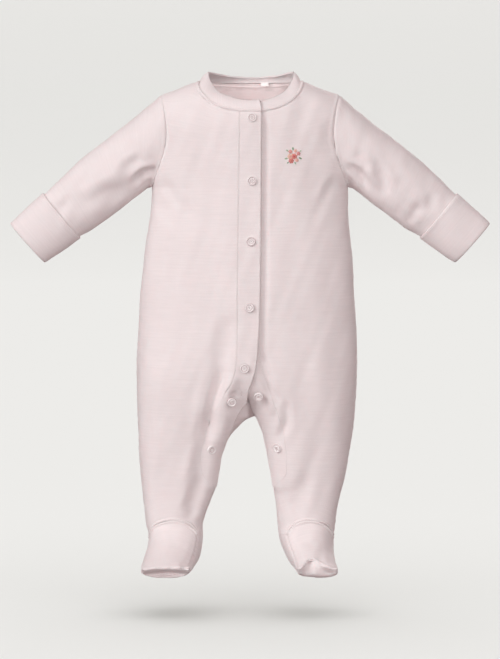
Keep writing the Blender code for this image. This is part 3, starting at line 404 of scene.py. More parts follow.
# Creases of the cloth in (x, z), on the front or the back: troughs, or ridges where depth is below 0,
# bowed sideways by bow in the middle.
FRONT_CREASES = table(
    "x0      z0      x1      z1      bow    depth  width",
    # body, wearer's right
    (-18,    -250,   -27,    -318,   2,     2.0,   9),
    (-22,    -296,   -47,    -404,   5,     3.4,   8),
    (-26,    -306,   -46,    -396,   4,     2.6,   4),
    (-48,    -386,   -66,    -456,   -3,    2.2,   7),
    (-14,    -350,   -36,    -412,   4,     -2.2,  7),
    (-19,    -336,   -14,    -347,   1,     1.6,   4),
    (-74,    -300,   -84,    -388,   4,     0.7,   12),
    (-96,    -250,   -100,   -330,   -3,    0.5,   9),
    (-86,    -396,   -92,    -470,   3,     0.7,   8),
    (-13,    -316,   -35,    -378,   3,     -2.6,  7),
    (-46,    -428,   -66,    -478,   4,     1.7,   6),
    (-60,    -462,   -72,    -486,   -3,    1.2,   5),
    # body, wearer's left
    (10,     -296,   28,     -334,   4,     1.9,   6),
    (20,     -325,   37,     -352,   5,     1.5,   5),
    (35,     -344,   29,     -394,   -7,    2.7,   4.5),
    (22,     -340,   20,     -366,   -3,    -1.2,  4),
    (58,     -292,   66,     -372,   5,     0.7,   11),
    (88,     -262,   92,     -350,   3,     0.6,   10),
    (62,     -398,   52,     -458,   -3,    0.9,   8),
    (80,     -420,   72,     -486,   -3,    0.8,   7),
    (48,     -448,   62,     -488,   3,     0.7,   5),
    # chest and armholes
    (-98,    -112,   -76,    -146,   -5,    1.2,   5),
    (-100,   -130,   -84,    -172,   -4,    0.7,   7),
    (97,     -110,   80,     -142,   5,     1.1,   5),
    (100,    -132,   88,     -176,   4,     0.8,   7),
    (-84,    -40,    -80,    -96,    3,     0.6,   7),
    (83,     -44,    79,     -98,    -3,    0.7,   7),
    (-60,    -60,    -40,    -84,    -3,    0.4,   9),
    (62,     -40,    50,     -66,    3,     0.4,   8),
    # sleeve, wearer's right
    (-98,    -104,   -124,   -120,   7,     4.0,   3.8),
    (-110,   -90,    -138,   -116,   8,     1.6,   5),
    (-128,   -118,   -192,   -150,   4,     2.4,   8),
    (-118,   -60,    -132,   -92,    -4,    0.6,   8),
    (-168,   -98,    -182,   -128,   3,     0.6,   7),
    (-196,   -128,   -206,   -150,   -2,    0.9,   5),
    (-212,   -132,   -196,   -160,   3,     0.6,   4),
    # sleeve, wearer's left
    (102,    -96,    127,    -126,   -5,    3.8,   4),
    (108,    -84,    124,    -110,   -6,    1.4,   5),
    (126,    -88,    146,    -132,   -5,    2.2,   5),
    (150,    -96,    158,    -126,   -4,    0.9,   6),
    (168,    -104,   178,    -134,   4,     0.7,   7),
    (172,    -162,   186,    -138,   -4,    1.2,   5),
    (196,    -124,   200,    -150,   3,     0.8,   5),
    # feet
    (-76,    -496,   -98,    -500,   3,     0.7,   4),
    (-66,    -506,   -80,    -518,   2,     0.6,   4),
    (48,     -500,   70,     -504,   -3,    0.7,   4),
    (82,     -506,   74,     -520,   2,     0.8,   4),
)
BACK_CREASES = table(
    "x0      z0      x1      z1      bow    depth  width",
    (-90,    -306,   20,     -300,   6,     1.2,   8),
    (-16,    -322,   84,     -314,   -5,    1.1,   7),
    (-70,    -344,   -14,    -356,   5,     1.4,   6),
    (22,     -352,   78,     -340,   4,     1.3,   6),
    (-34,    -372,   -86,    -396,   -5,    1.3,   6),
    (36,     -376,   80,     -404,   5,     1.2,   6),
    (-60,    -408,   -84,    -452,   3,     0.9,   7),
    (54,     -410,   74,     -452,   -3,    0.8,   7),
    (-98,    -112,   -62,    -156,   -6,    1.4,   5),
    (98,     -112,   64,     -150,   6,     1.3,   5),
    (-88,    -60,    -80,    -110,   4,     0.8,   8),
    (88,     -56,    82,     -108,   -4,    0.8,   8),
    (-40,    -150,   -46,    -236,   4,     0.6,   12),
    (34,     -140,   44,     -222,   -5,    0.6,   12),
    (-104,   -98,    -128,   -124,   5,     2.2,   4),
    (104,    -98,    130,    -124,   -5,    2.2,   4),
    (-128,   -76,    -150,   -120,   5,     1.1,   6),
    (128,    -78,    148,    -118,   -5,    1.2,   6),
    (-160,   -100,   -176,   -140,   3,     0.8,   6),
    (158,    -96,    178,    -142,   -3,    0.8,   6),
    (-186,   -156,   -204,   -132,   3,     0.9,   5),
    (190,    -154,   204,    -134,   -3,    0.9,   5),
    (-58,    -482,   -104,   -490,   -3,    1.0,   5),
    (38,     -480,   86,     -488,   3,     1.0,   5),
    (-62,    -498,   -100,   -508,   3,     0.8,   4),
    (44,     -500,   82,     -506,   -3,    0.8,   4),
)

# Soft waves of the whole cloth: turns a millimetre along each axis, height and phase.
WAVES = table(
    "x        y        z        height  phase",
    (0.0230,  0.0110,  0.0040,  0.22,   0.4),
    (-0.0310, 0.0160,  0.0065,  0.16,   2.1),
    (0.0410,  -0.0120, -0.0090, 0.12,   4.4),
    (0.0150,  0.0210,  0.0170,  0.16,   1.2),
    (-0.0560, 0.0300,  0.0200,  0.07,   5.3),
    (0.0640,  0.0240,  -0.0310, 0.06,   3.0),
    (0.0180,  -0.0330, 0.0520,  0.06,   0.9),
)
PUCKERS = table(
    "x        y        z        height  phase",
    (0.121,   0.093,   0.084,   0.5,    0.3),
    (-0.083,  0.132,   0.141,   0.5,    2.6),
    (0.176,   -0.061,  0.118,   0.35,   4.9),
)

# Presses that shape the toes: middle, reach across and along, and pull.
TOE_PRESSES = table(
    "x      y      z       across  along  pull_x  pull_y  pull_z",
    # wearer's left: drawn up in the middle of the toe seam, with a fold standing over the pinch
    (67.0,  -75.0, -524.0, 9.0,    8.0,   -1.0,   8.0,    9.0),
    (65.0,  -73.5, -521.0, 3.2,    5.5,   0.0,    14.0,   1.0),
    (64.0,  -60.0, -513.5, 13.0,   7.0,   0.0,    -4.0,   -2.0),
    (54.0,  -73.0, -521.0, 6.0,    5.0,   -0.6,   -3.6,   -0.6),
    (76.0,  -70.0, -518.0, 5.0,    5.0,   0.0,    3.0,    0.0),
    (82.0,  -73.0, -522.0, 6.0,    5.0,   0.4,    -2.4,   0.4),
    (60.0,  -72.0, -531.0, 4.0,    6.0,   0.0,    3.4,    0.6),
    (70.0,  -72.0, -530.0, 5.0,    6.0,   0.0,    -1.6,   0.0),
    (82.0,  -72.0, -531.0, 9.0,    6.0,   0.0,    4.0,    1.0),
    # wearer's right: the top hangs a little over the toe seam, and the sole turns in under it
    (-92.0, -76.0, -519.5, 24.0,   4.6,   0.0,    -2.4,   -1.6),
    (-89.0, -72.0, -534.0, 24.0,   6.0,   0.0,    15.0,   0.6),
    (-70.0, -72.0, -522.0, 4.0,    6.0,   0.0,    2.6,    0.4),
    (-76.0, -72.0, -517.0, 3.5,    6.0,   0.0,    -1.6,   0.2),
)


# ---------------------------------------------------------------- the skin


def fold_depth(folds, x, z, side=None):
    """Sum the folds at (x, z): each is a bell across its line and a long swell along it."""
    depth = np.zeros(np.broadcast(x, z).shape)
    for k in range(len(folds["x0"])):
        if side is not None and folds["side"][k] != side:
            continue
        start = np.array((folds["x0"][k], folds["z0"][k]))
        run = np.array((folds["x1"][k], folds["z1"][k])) - start
        reach = math.hypot(*run)
        along = ((x - start[0]) * run[0] + (z - start[1]) * run[1]) / reach
        across = ((x - start[0]) * run[1] - (z - start[1]) * run[0]) / reach
        beyond = np.clip(np.abs(along - reach / 2) - reach / 4, 0.0, None) / (reach / 3)
        depth += folds["depth"][k] * np.exp(-(across / folds["width"][k]) ** 2 - beyond ** 2)
    return depth


def level_values(side, drop):
    """Read the level's outer and inner X, and its front and back points in Y and Z."""
    name = NAMES[side]
    knots = np.concatenate((LEVELS["drop"], FEET["drop"]))
    outer = smooth(drop, knots, np.concatenate((LEVELS[name], FEET[name])))
    front_y = smooth(drop, knots, np.concatenate((LEVELS["front_y"], FEET["front_y"])))
    back_y = smooth(drop, knots, np.concatenate((LEVELS["back_y"], FEET["back_y"])))
    front_z = smooth(drop, knots, np.concatenate((-LEVELS["drop"], FEET["front_z"])))
    back_z = smooth(drop, knots, np.concatenate((-LEVELS["drop"], FEET["back_z"])))
    above = smooth(drop, MIDDLE["drop"], MIDDLE["x"])
    below = smooth(drop, INNER["drop"], INNER[name])
    return outer, np.where(drop < CROTCH, above, below), front_y, back_y, front_z, back_z


def level(side, drop):
    """Points along each level: half an oval round the body, closing to a whole one round a leg."""
    outer, inner, front_y, back_y, front_z, back_z = level_values(side, drop)
    closed = ease((drop - OPENING) / (CROTCH - OPENING))
    turn = np.arccos(-closed)
    bend = 2.0 / smooth(drop, ROUNDNESS["drop"], ROUNDNESS["power"])
    angle = turn[:, None] * np.linspace(-1.0, 1.0, LEVEL_SAMPLES)
    cosine = np.sign(np.cos(angle)) * np.abs(np.cos(angle)) ** bend[:, None]
    sine = np.sign(np.sin(angle)) * np.abs(np.sin(angle)) ** bend[:, None]
    half = (outer - inner) / (1.0 + closed ** bend)
    x = (outer - half)[:, None] + half[:, None] * cosine
    y = (front_y + back_y)[:, None] / 2 + (back_y - front_y)[:, None] / 2 * sine
    z = (front_z + back_z)[:, None] / 2 + (back_z - front_z)[:, None] / 2 * sine
    front = np.clip(-sine, 0.0, 1.0) * fold_depth(FRONT_FOLDS, x, z)
    back = np.clip(sine, 0.0, 1.0) * fold_depth(BACK_FOLDS, x, z)
    return np.stack((x, y + front - back, z), axis=-1)


def lengths_along(points):
    """Length from the first point to each point of every row."""
    steps = np.linalg.norm(np.diff(points, axis=1), axis=2)
    return np.concatenate((np.zeros((len(points), 1)), np.cumsum(steps, axis=1)), axis=1)


def locate(runs, wanted):
    """Find wanted values in rising rows: each row, the cell before the value and the part of that cell."""
    k = np.clip((runs[:, None, :] < wanted[:, :, None]).sum(axis=2) - 1, 0, runs.shape[1] - 2)
    row = np.arange(len(runs))[:, None]
    return row, k, (wanted - runs[row, k]) / np.maximum(runs[row, k + 1] - runs[row, k], TINY)


def even_levels(side):
    """One side's levels for every mm of drop, each resampled evenly, with its lengths.

    Away from the inner ends each level is a bell-weighted mean of those above and below it, so that the
    hips pass softly into the legs.
    """
    points = level(side, DROPS)
    run = lengths_along(points)
    column = np.linspace(0.0, 1.0, EVEN + 1)
    wanted = run[:, -1:] * column
    row, k, part = locate(run, wanted)
    even = points[row, k] + part[..., None] * (points[row, k + 1] - points[row, k])
    soft = 1.0 + SOFT_HIPS * window(DROPS, *HIP_DROPS)
    weight = np.exp(-((DROPS[:, None] - DROPS) / soft[:, None]) ** 2 / 2)
    weight /= weight.sum(axis=1, keepdims=True)
    inner = ease(np.minimum(column, 1 - column) / HIP_INNER)[:, None]
    even = even + (np.tensordot(weight, even, axes=1) - even) * inner
    return {"points": even, "seam": run[:, LEVEL_SAMPLES // 2], "end": run[:, -1],
            "front_x": np.maximum.accumulate(even[..., 0] * side, axis=1), "front_run": wanted}


SKINS = {side: even_levels(side) for side in (-1, 1)}


def spans(side, drop):
    """Length along each level from its inner end to the side seam, and to its other end."""
    found = SKINS[side]
    return np.interp(drop, DROPS, found["seam"]), np.interp(drop, DROPS, found["end"])


def skin(side, drop, reach):
    """Points of the body's outer face, read between its even levels."""
    drop, reach = np.broadcast_arrays(np.asarray(drop, dtype=float), np.asarray(reach, dtype=float))
    found = SKINS[side]
    low = np.clip(np.floor(drop).astype(int), 0, len(DROPS) - 2)
    places = []
    for row in (low, low + 1):
        at = np.clip(reach / found["end"][row], 0.0, 1.0) * EVEN
        k = np.clip(np.floor(at).astype(int), 0, EVEN - 1)
        places.append(blend(found["points"][row, k], found["points"][row, k + 1], (at - k)[..., None]))
    return blend(*places, np.clip(drop - low, 0.0, 1.0)[..., None])


def reach_at(side, drop, x):
    """Length from a level's inner end to the point of its front that has the given X."""
    drop, x = np.broadcast_arrays(np.asarray(drop, dtype=float), np.asarray(x, dtype=float))
    found = SKINS[side]
    low = np.clip(np.floor(drop).astype(int), 0, len(DROPS) - 2).ravel()
    runs = []
    for row in (low, low + 1):
        places = found["front_x"][row]
        run = found["front_run"][row]
        wanted = np.clip(x.ravel() * side, places[:, 0], places[:, -1])
        each, k, part = locate(places, wanted[:, None])
        runs.append((run[each, k] + part * (run[each, k + 1] - run[each, k]))[:, 0])
    return blend(*runs, np.clip(drop.ravel() - low, 0.0, 1.0)).reshape(drop.shape)


def shoulder_line(x):
    """Height of the garment's upper line over each X: the neck's crown, then the shoulder seam."""
    out = np.abs(x)
    crown = NECK_SIDE_Z + NECK_CROWN * (1 - (out / NECK_HALF) ** 2)
    slope = NECK_SIDE_Z + (TIP_Z - NECK_SIDE_Z) * (out - NECK_HALF) / (TIP_X - NECK_HALF)
    return np.where(out < NECK_HALF, crown, slope)


def chest_y(x, z, face):
    """Y of the chest (face -1) or the upper back (face 1): an oval that rounds over the shoulder."""
    drop = -z
    middle = smooth(drop, MIDDLE["drop"], MIDDLE["x"])
    half = smooth(drop, CHEST["drop"], CHEST["half"]) - middle * np.sign(x - middle)
    front_y = smooth(drop, LEVELS["drop"], LEVELS["front_y"])
    back_y = smooth(drop, LEVELS["drop"], LEVELS["back_y"])
    power = smooth(drop, ROUNDNESS["drop"], ROUNDNESS["power"])
    across = np.clip(1 - (np.abs(x - middle) / half) ** power, 0.0, 1.0) ** (1 / power)
    climb = np.clip((z + YOKE) / (shoulder_line(x) + YOKE), 0.0, 1.0)
    swell = across * np.sqrt(1 - climb ** 2)
    folds = fold_depth(FRONT_FOLDS if face < 0 else BACK_FOLDS, x, z)
    return (front_y + back_y) / 2 + face * ((back_y - front_y) / 2 - folds) * swell


def leg_place(side, drop, x):
    """Points at the given X on the front of one half below the arms."""
    return skin(side, drop, reach_at(side, drop, x))


def front_place(drop, x, leg=0):
    """Points of the front at the given X, on one leg or straight across the dip between both."""
    drop, x = np.broadcast_arrays(np.asarray(drop, dtype=float), np.asarray(x, dtype=float))
    upper = np.stack((x, chest_y(x, -drop, -1), -drop), axis=-1)
    low = np.maximum(drop, UNDERARM)
    if leg:
        lower = leg_place(leg, low, x)
    else:
        middle = smooth(low, MIDDLE["drop"], MIDDLE["x"])
        wide = window(low, OPENING, OPENING + SPAN_FADE, SPAN_END, SPAN_END + SPAN_FADE)
        span = SPAN_HALF * wide + SPAN_LEAST
        right = leg_place(-1, low, np.minimum(x, middle - span))
        left = leg_place(1, low, np.maximum(x, middle + span))
        part = np.clip((x - middle + span) / (2 * span), 0.0, 1.0)[..., None]
        lower = right + (left - right) * part
    return np.where((drop < UNDERARM)[..., None], upper, lower)


def front_normal(drop, x, leg=0):
    """Outward direction at front_place, from points 1 mm to each side."""
    sideways = front_place(drop, x + 1.0, leg) - front_place(drop, x - 1.0, leg)
    down = front_place(drop + 1.0, x, leg) - front_place(drop - 1.0, x, leg)
    return unit(np.cross(down, sideways))


# ---------------------------------------------------------------- grids of the pieces


def closing(name, drop):
    """Read the X of one line of the closing."""
    return smooth(np.minimum(drop, CLOSING_END), CLOSING["drop"], CLOSING[name])


def inseam(side, drop):
    """Length from a level's inner end to the plain inseam, or to the foot top's inner seam."""
    x = smooth(np.maximum(drop, CLOSING_END), INSEAM["drop"], INSEAM[NAMES[side]])
    return reach_at(side, drop, x) * ease((TOE - drop) / 12.0)


def front_edge(side, drop):
    """Length from the inner end of a level to the front panel's inner edge."""
    sewn_at = reach_at(side, drop, closing(SEWN_LINES[side], drop))
    return sewn_at + (inseam(side, drop) - sewn_at) * ease((drop - CLOSING_END) / BAND_END)


def back_edge(side, drop):
    """Length past the inseam that the back's cloth reaches under the front's edge."""
    under = reach_at(side, drop, closing(f"under_{NAMES[side]}", drop))
    return np.where(drop < CLOSING_END, under, inseam(side, drop))


def lift(side, drop, beside):
    """How far a front panel's outer face stands off the skin, beside mm from its band.

    The left one sinks in a shallow gutter along the closing's free edge.
    """
    height = smooth(drop, LIFTS["drop"], LIFTS[LAYERS[side]]) * ease(1 - beside / LIFT_FADE)
    if side > 0:
        height = height - GUTTER * window(drop, *GUTTER_DROPS) * bell(beside, *GUTTER_BESIDE)
    return height


def neckline_z(x, face):
    """Height of the neckline at each X: a deep round on the front (face -1), a shallow one behind."""
    along = np.clip(np.abs(x) / NECK_HALF, 0.0, 1.0)
    front = (NECK_FRONT_Z - NECK_SIDE_Z) * (1 - along ** NECK_POWER) ** (1 / NECK_POWER)
    back = (NECK_BACK_Z - NECK_SIDE_Z) * (1 - along ** 2)
    return NECK_SIDE_Z + (front if face < 0 else back)


def neck_x(side, face, inner, part):
    """X of points at even parts of the neckline's length, from its inner end to the shoulder."""
    x = inner + (NECK_HALF * side - inner) * np.sin(np.linspace(0.0, math.pi / 2, 241))
    z = neckline_z(x, face)
    line = np.stack((x, chest_y(x, z, face), z), axis=-1)
    run = lengths_along(line[None])[0]
    return np.interp(part * run[-1], run, x)


def steps(*counts, close=()):
    """Even steps over unit cells, with finer ones at both ends and at the given ones before the end."""
    total = sum(counts)
    at = np.linspace(0.0, total, total * FINE + 1)
    lead = np.array([0.02, 0.045, 0.075, 0.11])
    return np.unique(np.concatenate((at, lead, total - lead, total - np.array(close, dtype=float))).round(6))


def arm_rows():
    """Rows of the chest, the upper back and the armhole, close together below the neckline."""
    return steps(ARM_CELLS, CAP_CELLS, close=np.linspace(0.03, 0.9, 27))


def welt(away):
    """Height of a covered seam over the distance from it: a raised strip, then a stitched groove."""
    return 0.8 * np.exp(-((away - 1.5) / 1.15) ** 4) - 0.5 * bell(away, 3.6, 0.95)


def tuck(away):
    """Depth to which a sewn edge turns in over the distance from it."""
    return 0.9 * bell(away, 0.0, 0.55)


def between(grid, at):
    """Rows of a grid at fractional row numbers, each a straight blend of the rows beside it."""
    k = np.clip(np.floor(at).astype(int), 0, len(grid) - 2)
    return blend(grid[k], grid[k + 1], (at - k).reshape((-1,) + (1,) * (grid.ndim - 1)))


def from_line(points, line):
    """Distance from each point to the nearest of many points laid evenly along a line."""
    run = lengths_along(line[None])[0]
    at = np.linspace(0.0, run[-1], 300)
    dense = np.stack([np.interp(at, run, line[:, k]) for k in range(3)], axis=-1)
    return np.linalg.norm(points[..., None, :] - dense, axis=-1).min(axis=-1)


def even_out(flat):
    """Relax the X and Z within a grid so that its rows and columns never fold.

    Winslow's rule: a Pss - 2 b Pst + c Ptt = 0, where s runs along the rows, t down them, a is the
    square of Pt, b the product of Ps and Pt, and c the square of Ps.
    """
    for _ in range(EVENING_ROUNDS):
        along = (flat[1:-1, 2:] - flat[1:-1, :-2]) / 2
        down = (flat[2:, 1:-1] - flat[:-2, 1:-1]) / 2
        a = (down ** 2).sum(axis=-1, keepdims=True)
        b = (along * down).sum(axis=-1, keepdims=True)
        c = (along ** 2).sum(axis=-1, keepdims=True)
        turn = (flat[2:, 2:] - flat[2:, :-2] - flat[:-2, 2:] + flat[:-2, :-2]) / 4
        beside = flat[1:-1, 2:] + flat[1:-1, :-2]
        over = flat[2:, 1:-1] + flat[:-2, 1:-1]
        flat[1:-1, 1:-1] = (a * beside + c * over - 2 * b * turn) / (2 * (a + c))
    return flat


def chest_outward(x, z, face):
    """Outward direction of the chest or the upper back, from the slope of its Y."""
    step = 0.05
    across = (chest_y(x + step, z, face) - chest_y(x - step, z, face)) / (2 * step)
    down = (chest_y(x, z, face) - chest_y(x, z - step, face)) / step
    return unit(np.stack((-across, np.ones(x.shape), -down), axis=-1) * face)


def upper_grid(side, face):
    """Chest or upper back over cells from the inner edge to the armhole, and rows up to the shoulder.

    Its edges are the neckline, shoulder, armhole and closing. Y is the chest's at each X and Z.
    """
    neck_cells = FRONT_NECK_CELLS if face < 0 else BACK_NECK_CELLS
    total = neck_cells + SHOULDER_CELLS
    cell = np.linspace(0.0, total, total * FINE + 1)
    row = np.linspace(0.0, ARM_CELLS + CAP_CELLS, (ARM_CELLS + CAP_CELLS) * FINE + 1)
    column = cell / total
    if face < 0:
        start = float(front_edge(side, UNDERARM))
        reach = start + (float(spans(side, UNDERARM)[0]) - start) * column
        inner = float(closing(SEWN_LINES[side], NECK_DROP))
    else:
        start, end = spans(side, UNDERARM)
        reach = end + (start - end) * column
        inner = float(smooth(UNDERARM, MIDDLE["drop"], MIDDLE["x"]))
    base = skin(side, np.full(len(cell), UNDERARM), reach)
    beyond = np.clip((cell - neck_cells) / SHOULDER_CELLS, 0.0, 1.0)
    on_neck = cell <= neck_cells
    around = neck_x(side, face, inner, np.clip(cell / neck_cells, 0.0, 1.0))
    top_x = np.where(on_neck, around, side * (NECK_HALF + (TIP_X - NECK_HALF) * beyond))
    top_z = np.where(on_neck, neckline_z(top_x, face), shoulder_line(top_x))

    rise = np.minimum(row / ARM_CELLS, 1.0) ** ROW_GROWTH
    swing = np.clip((row - ARM_CELLS) / CAP_CELLS, 0.0, 1.0)
    full = np.arcsin(np.clip((top_z + YOKE) / (shoulder_line(top_x) + YOKE), 0.0, 1.0))
    seam = ARMHOLE["front" if face < 0 else "back"]
    seam_z = -UNDERARM + (UNDERARM - YOKE) * rise + (TIP_Z + YOKE) * np.sin(swing * math.pi / 2)
    seam_x = side * smooth(np.clip(-seam_z, -TIP_Z, UNDERARM), ARMHOLE["drop"], seam)
    part = (seam_z + UNDERARM) / (TIP_Z + UNDERARM)
    inner_x = base[0, 0] + (inner - base[0, 0]) * part
    part = part[:, None]
    corner = blend(blend(base[0, 0], base[-1, 0], column), blend(top_x[0], top_x[-1], column), part)
    x = blend(base[:, 0], top_x, part) + blend(inner_x[:, None], seam_x[:, None], column) - corner
    angle = swing[:, None] * full[None, :]
    z = (-UNDERARM + (UNDERARM - YOKE) * rise)[:, None] + (shoulder_line(x) + YOKE) * np.sin(angle)
    flat = np.stack((x, z), axis=-1)
    flat = between(even_out(flat), arm_rows() * FINE).swapaxes(0, 1)
    flat = between(flat, steps(total) * FINE).swapaxes(0, 1)
    x, z = flat[..., 0], flat[..., 1]
    base = between(base, steps(total) * FINE)
    y = chest_y(x, z, face)
    y = y + (base[:, 1] - y[0]) * ease(1 - (z + UNDERARM) / 26.0)
    grid = np.stack((x, y, z), axis=-1)
    grid[0] = base
    grid = grid[::-1]
    line = grid[0, steps(total) <= neck_cells]
    away = from_line(grid[:NECK_ROWS], line)
    height = np.zeros(grid.shape[:2])
    height[:NECK_ROWS] = welt(away) - tuck(away)
    return grid + chest_outward(grid[..., 0], grid[..., 2], face) * height[..., None]


UPPERS = {}


def upper(side, face):
    """The chest or upper back, worked out once."""
    if (side, face) not in UPPERS:
        UPPERS[side, face] = upper_grid(side, face)
    return UPPERS[side, face]


def body_drops():
    """Drops of the body's rows, close round the crotch."""
    torso = np.linspace(UNDERARM, OPEN_TOP, 90)
    crotch = np.linspace(OPEN_TOP, CROTCH, 50)[1:]
    thigh = np.linspace(CROTCH, CLOSING_END, 46)[1:]
    shin = np.linspace(CLOSING_END, ANKLE - 6.0, 30)[1:]
    ankle = np.linspace(ANKLE - 6.0, ANKLE, 15)[1:]
    return np.concatenate((torso, crotch, thigh, shin, ankle))


def vamp_arc(column):
    """How far the seam over the foot rises, from its inner end to the side seam."""
    return VAMP_RISE * np.clip(1 - (column / VAMP_MIDDLE - 1) ** 2, 0.0, None)


def grid_normals(points):
    """Outward directions of a grid, from the cross of its two runs."""
    return unit(np.cross(np.gradient(points, axis=0), np.gradient(points, axis=1)))


def lengths_down(points):
    """Length from the first point to each point of every column."""
    return lengths_along(points.swapaxes(0, 1)).T


def front_grid(side):
    """A front panel, from the shoulder to the foot's arc, lifted where its band lies on another."""
    chest = upper(side, -1)
    drop = np.clip(-chest[..., 2], 0.0, UNDERARM)
    beside = np.abs(chest[..., 0] - closing(SEWN_LINES[side], drop))
    chest_lift = lift(side, drop, beside)
    column = steps(FRONT_NECK_CELLS, SHOULDER_CELLS) / FRONT_CELLS
    drops = body_drops()[1:]
    low = np.clip((drops - CLOSING_END) / (ANKLE - CLOSING_END), 0.0, 1.0)
    drop = drops[:, None] - vamp_arc(column) * low[:, None]
    edge = front_edge(side, drop)
    reach = edge + (spans(side, drop)[0] - edge) * column
    points = np.concatenate((chest, skin(side, drop, reach)))
    height = np.concatenate((chest_lift, lift(side, drop, reach - edge)))
    outward = grid_normals(points) * side
    outward[:NECK_ROWS] = chest_outward(chest[:NECK_ROWS, :, 0], chest[:NECK_ROWS, :, 2], -1)
    points = points + outward * height[..., None]
    band = band_grid(side)[:, -1]
    first = points[:, 0]
    seam = np.stack([np.interp(-first[:, 2], -band[:, 2], band[:, k]) for k in range(3)], axis=-1)
    off = np.where((-first[:, 2] <= -band[-1, 2])[:, None], seam - first, 0.0)
    beside = lengths_along(points)
    points = points + off[:, None] * ease(1 - beside / SEAM_PULL)[..., None]
    down = lengths_down(points)
    return points + grid_normals(points) * side * FOOT_WELT * welt(down[-1] - down)[..., None]


def back_grids(side):
    """One half of the back: from the shoulder to the ankle, and the underlap between the legs."""
    cell = steps(BACK_NECK_CELLS, SHOULDER_CELLS)
    drops = body_drops()
    column = 1 - cell[::-1] / SIDE_CELLS
    seam, end = spans(side, drops[1:])
    lower = skin(side, drops[1:, None], seam[:, None] + (end - seam)[:, None] * column)
    flap = drops[drops > TONGUE_TOP]
    reach = back_edge(side, flap)[:, None] * np.linspace(0.0, 1.0, UNDER_CELLS * FINE + 1)
    under = skin(side, flap[:, None], reach)
    sunk = UNDER_SINK * ease(reach / 8.0) * ease((CLOSING_END - flap[:, None]) / 10.0)
    under = under - grid_normals(under) * side * sunk[..., None]
    return np.concatenate((upper(side, 1)[:, ::-1], lower)), under


def band_grid(side):
    """A closing band from the neckline to its end on its own leg."""
    layer = LAYERS[side]
    neck = -float(neckline_z(float(closing(SEWN_LINES[side], NECK_DROP)), -1))
    drop = np.concatenate((neck + np.arange(0.0, 5.4, 0.45), np.linspace(neck + 6.0, UNDERARM, 54)[:-1],
                           body_drops()))
    drop = np.concatenate((drop[drop < CLOSING_END + 0.5], CLOSING_END + np.array([2.0, 4.0, 5.5])))[:, None]
    column = np.unique(np.concatenate((np.linspace(0, 1, 19), [0.02, 0.035, 0.965, 0.98])))
    seam_x = smooth(np.maximum(drop, CLOSING_END), INSEAM["drop"], INSEAM[NAMES[side]])
    edge_x = np.where(drop > CLOSING_END, seam_x, closing(f"{layer}_edge", drop))
    sewn_x = closing(SEWN_LINES[side], drop)
    sewn_x = sewn_x + (seam_x - sewn_x) * ease((drop - CLOSING_END) / BAND_END)
    x = edge_x + (sewn_x - edge_x) * column
    rise = smooth(drop, LIFTS["drop"], LIFTS[layer])[..., None]
    leg = front_place(drop, x, side) + front_normal(drop, x, side) * rise
    start, full = BAND_SOFT_DROPS
    soft = BAND_SOFT * ease((drop - start) / (full - start))
    trunk = sum(share * front_place(drop, x + shift * soft) for shift, share in BAND_BLUR)
    seam = welt(drop - neck) - tuck(drop - neck)
    trunk = trunk + front_normal(drop, x) * (rise + seam[..., None])
    start, full = BAND_LEG_DROPS
    band = blend(trunk, leg, ease((drop - start) / (full - start))[..., None])
    y = band[..., 1]
    share = window(drop[1:-1], *BAND_EVEN_DROPS)
    for _ in range(BAND_EVEN_ROUNDS):
        mean = (y[:-2, 1:-1] + y[2:, 1:-1] + y[1:-1, :-2] + y[1:-1, 2:]) / 4
        y[1:-1, 1:-1] += (mean - y[1:-1, 1:-1]) * share
    return band


def foot_grids(side):
    """The foot's top, and its sole with the heel, from the ankle to the toe seam."""
    part = np.concatenate((np.linspace(0.0, 0.06, 14), np.linspace(0.075, 1.0, 58)))[:, None]
    part = 0.75 * part + 0.25 * np.sin(part * math.pi / 2)
    column = steps(FRONT_CELLS) / FRONT_CELLS
    drop = ANKLE + (TOE - ANKLE) * part - vamp_arc(column) * (1 - part)
    edge = inseam(side, drop)
    top = skin(side, drop, edge + (spans(side, drop)[0] - edge) * column)
    top = top + grid_normals(top) * side * FOOT_WELT * welt(lengths_down(top))[..., None]
    drops = ANKLE + (TOE - ANKLE) * part
    seam, end = spans(side, drops)
    edge = inseam(side, drops)
    cell = steps(SIDE_CELLS, UNDER_CELLS)
    behind = seam + (end - seam) * np.clip(cell / SIDE_CELLS, 0.0, 1.0)
    inside = edge * np.clip((cell - SIDE_CELLS) / UNDER_CELLS, 0.0, 1.0)
    evenly = seam + (end + edge - seam) * cell / FRONT_CELLS
    reach = (behind + inside) * (1 - part) + evenly * part
    sole = skin(side, drops, np.where(reach > end, reach - end, reach))
    return top, sole


# ---------------------------------------------------------------- arms and neck


def arm_rings(side):
    """Rings that guide an arm: the armhole's own loop, then the ovals of ARM's sections."""
    row = arm_rows()
    front = upper(side, -1)[:, -1]
    back = upper(side, 1)[:, -1]
    loop = np.concatenate((front, back[::-1][1:-1]))
    turn = (1 - row[::-1] / (ARM_CELLS + CAP_CELLS)) * math.pi
    angle = np.concatenate((turn, 2 * math.pi - turn[::-1][1:-1]))
    rings = [loop]
    for top_x, top_z, low_x, low_z, depth in zip(*ARM.values()):
        top = np.array((side * top_x, 0.0, top_z))
        low = np.array((side * low_x, 0.0, low_z))
        swing = np.sin(angle)[:, None] * np.array((0.0, -depth, 0.0))
        rings.append((top + low) / 2 + np.cos(angle)[:, None] * (top - low) / 2 + swing)
    return np.array(rings)


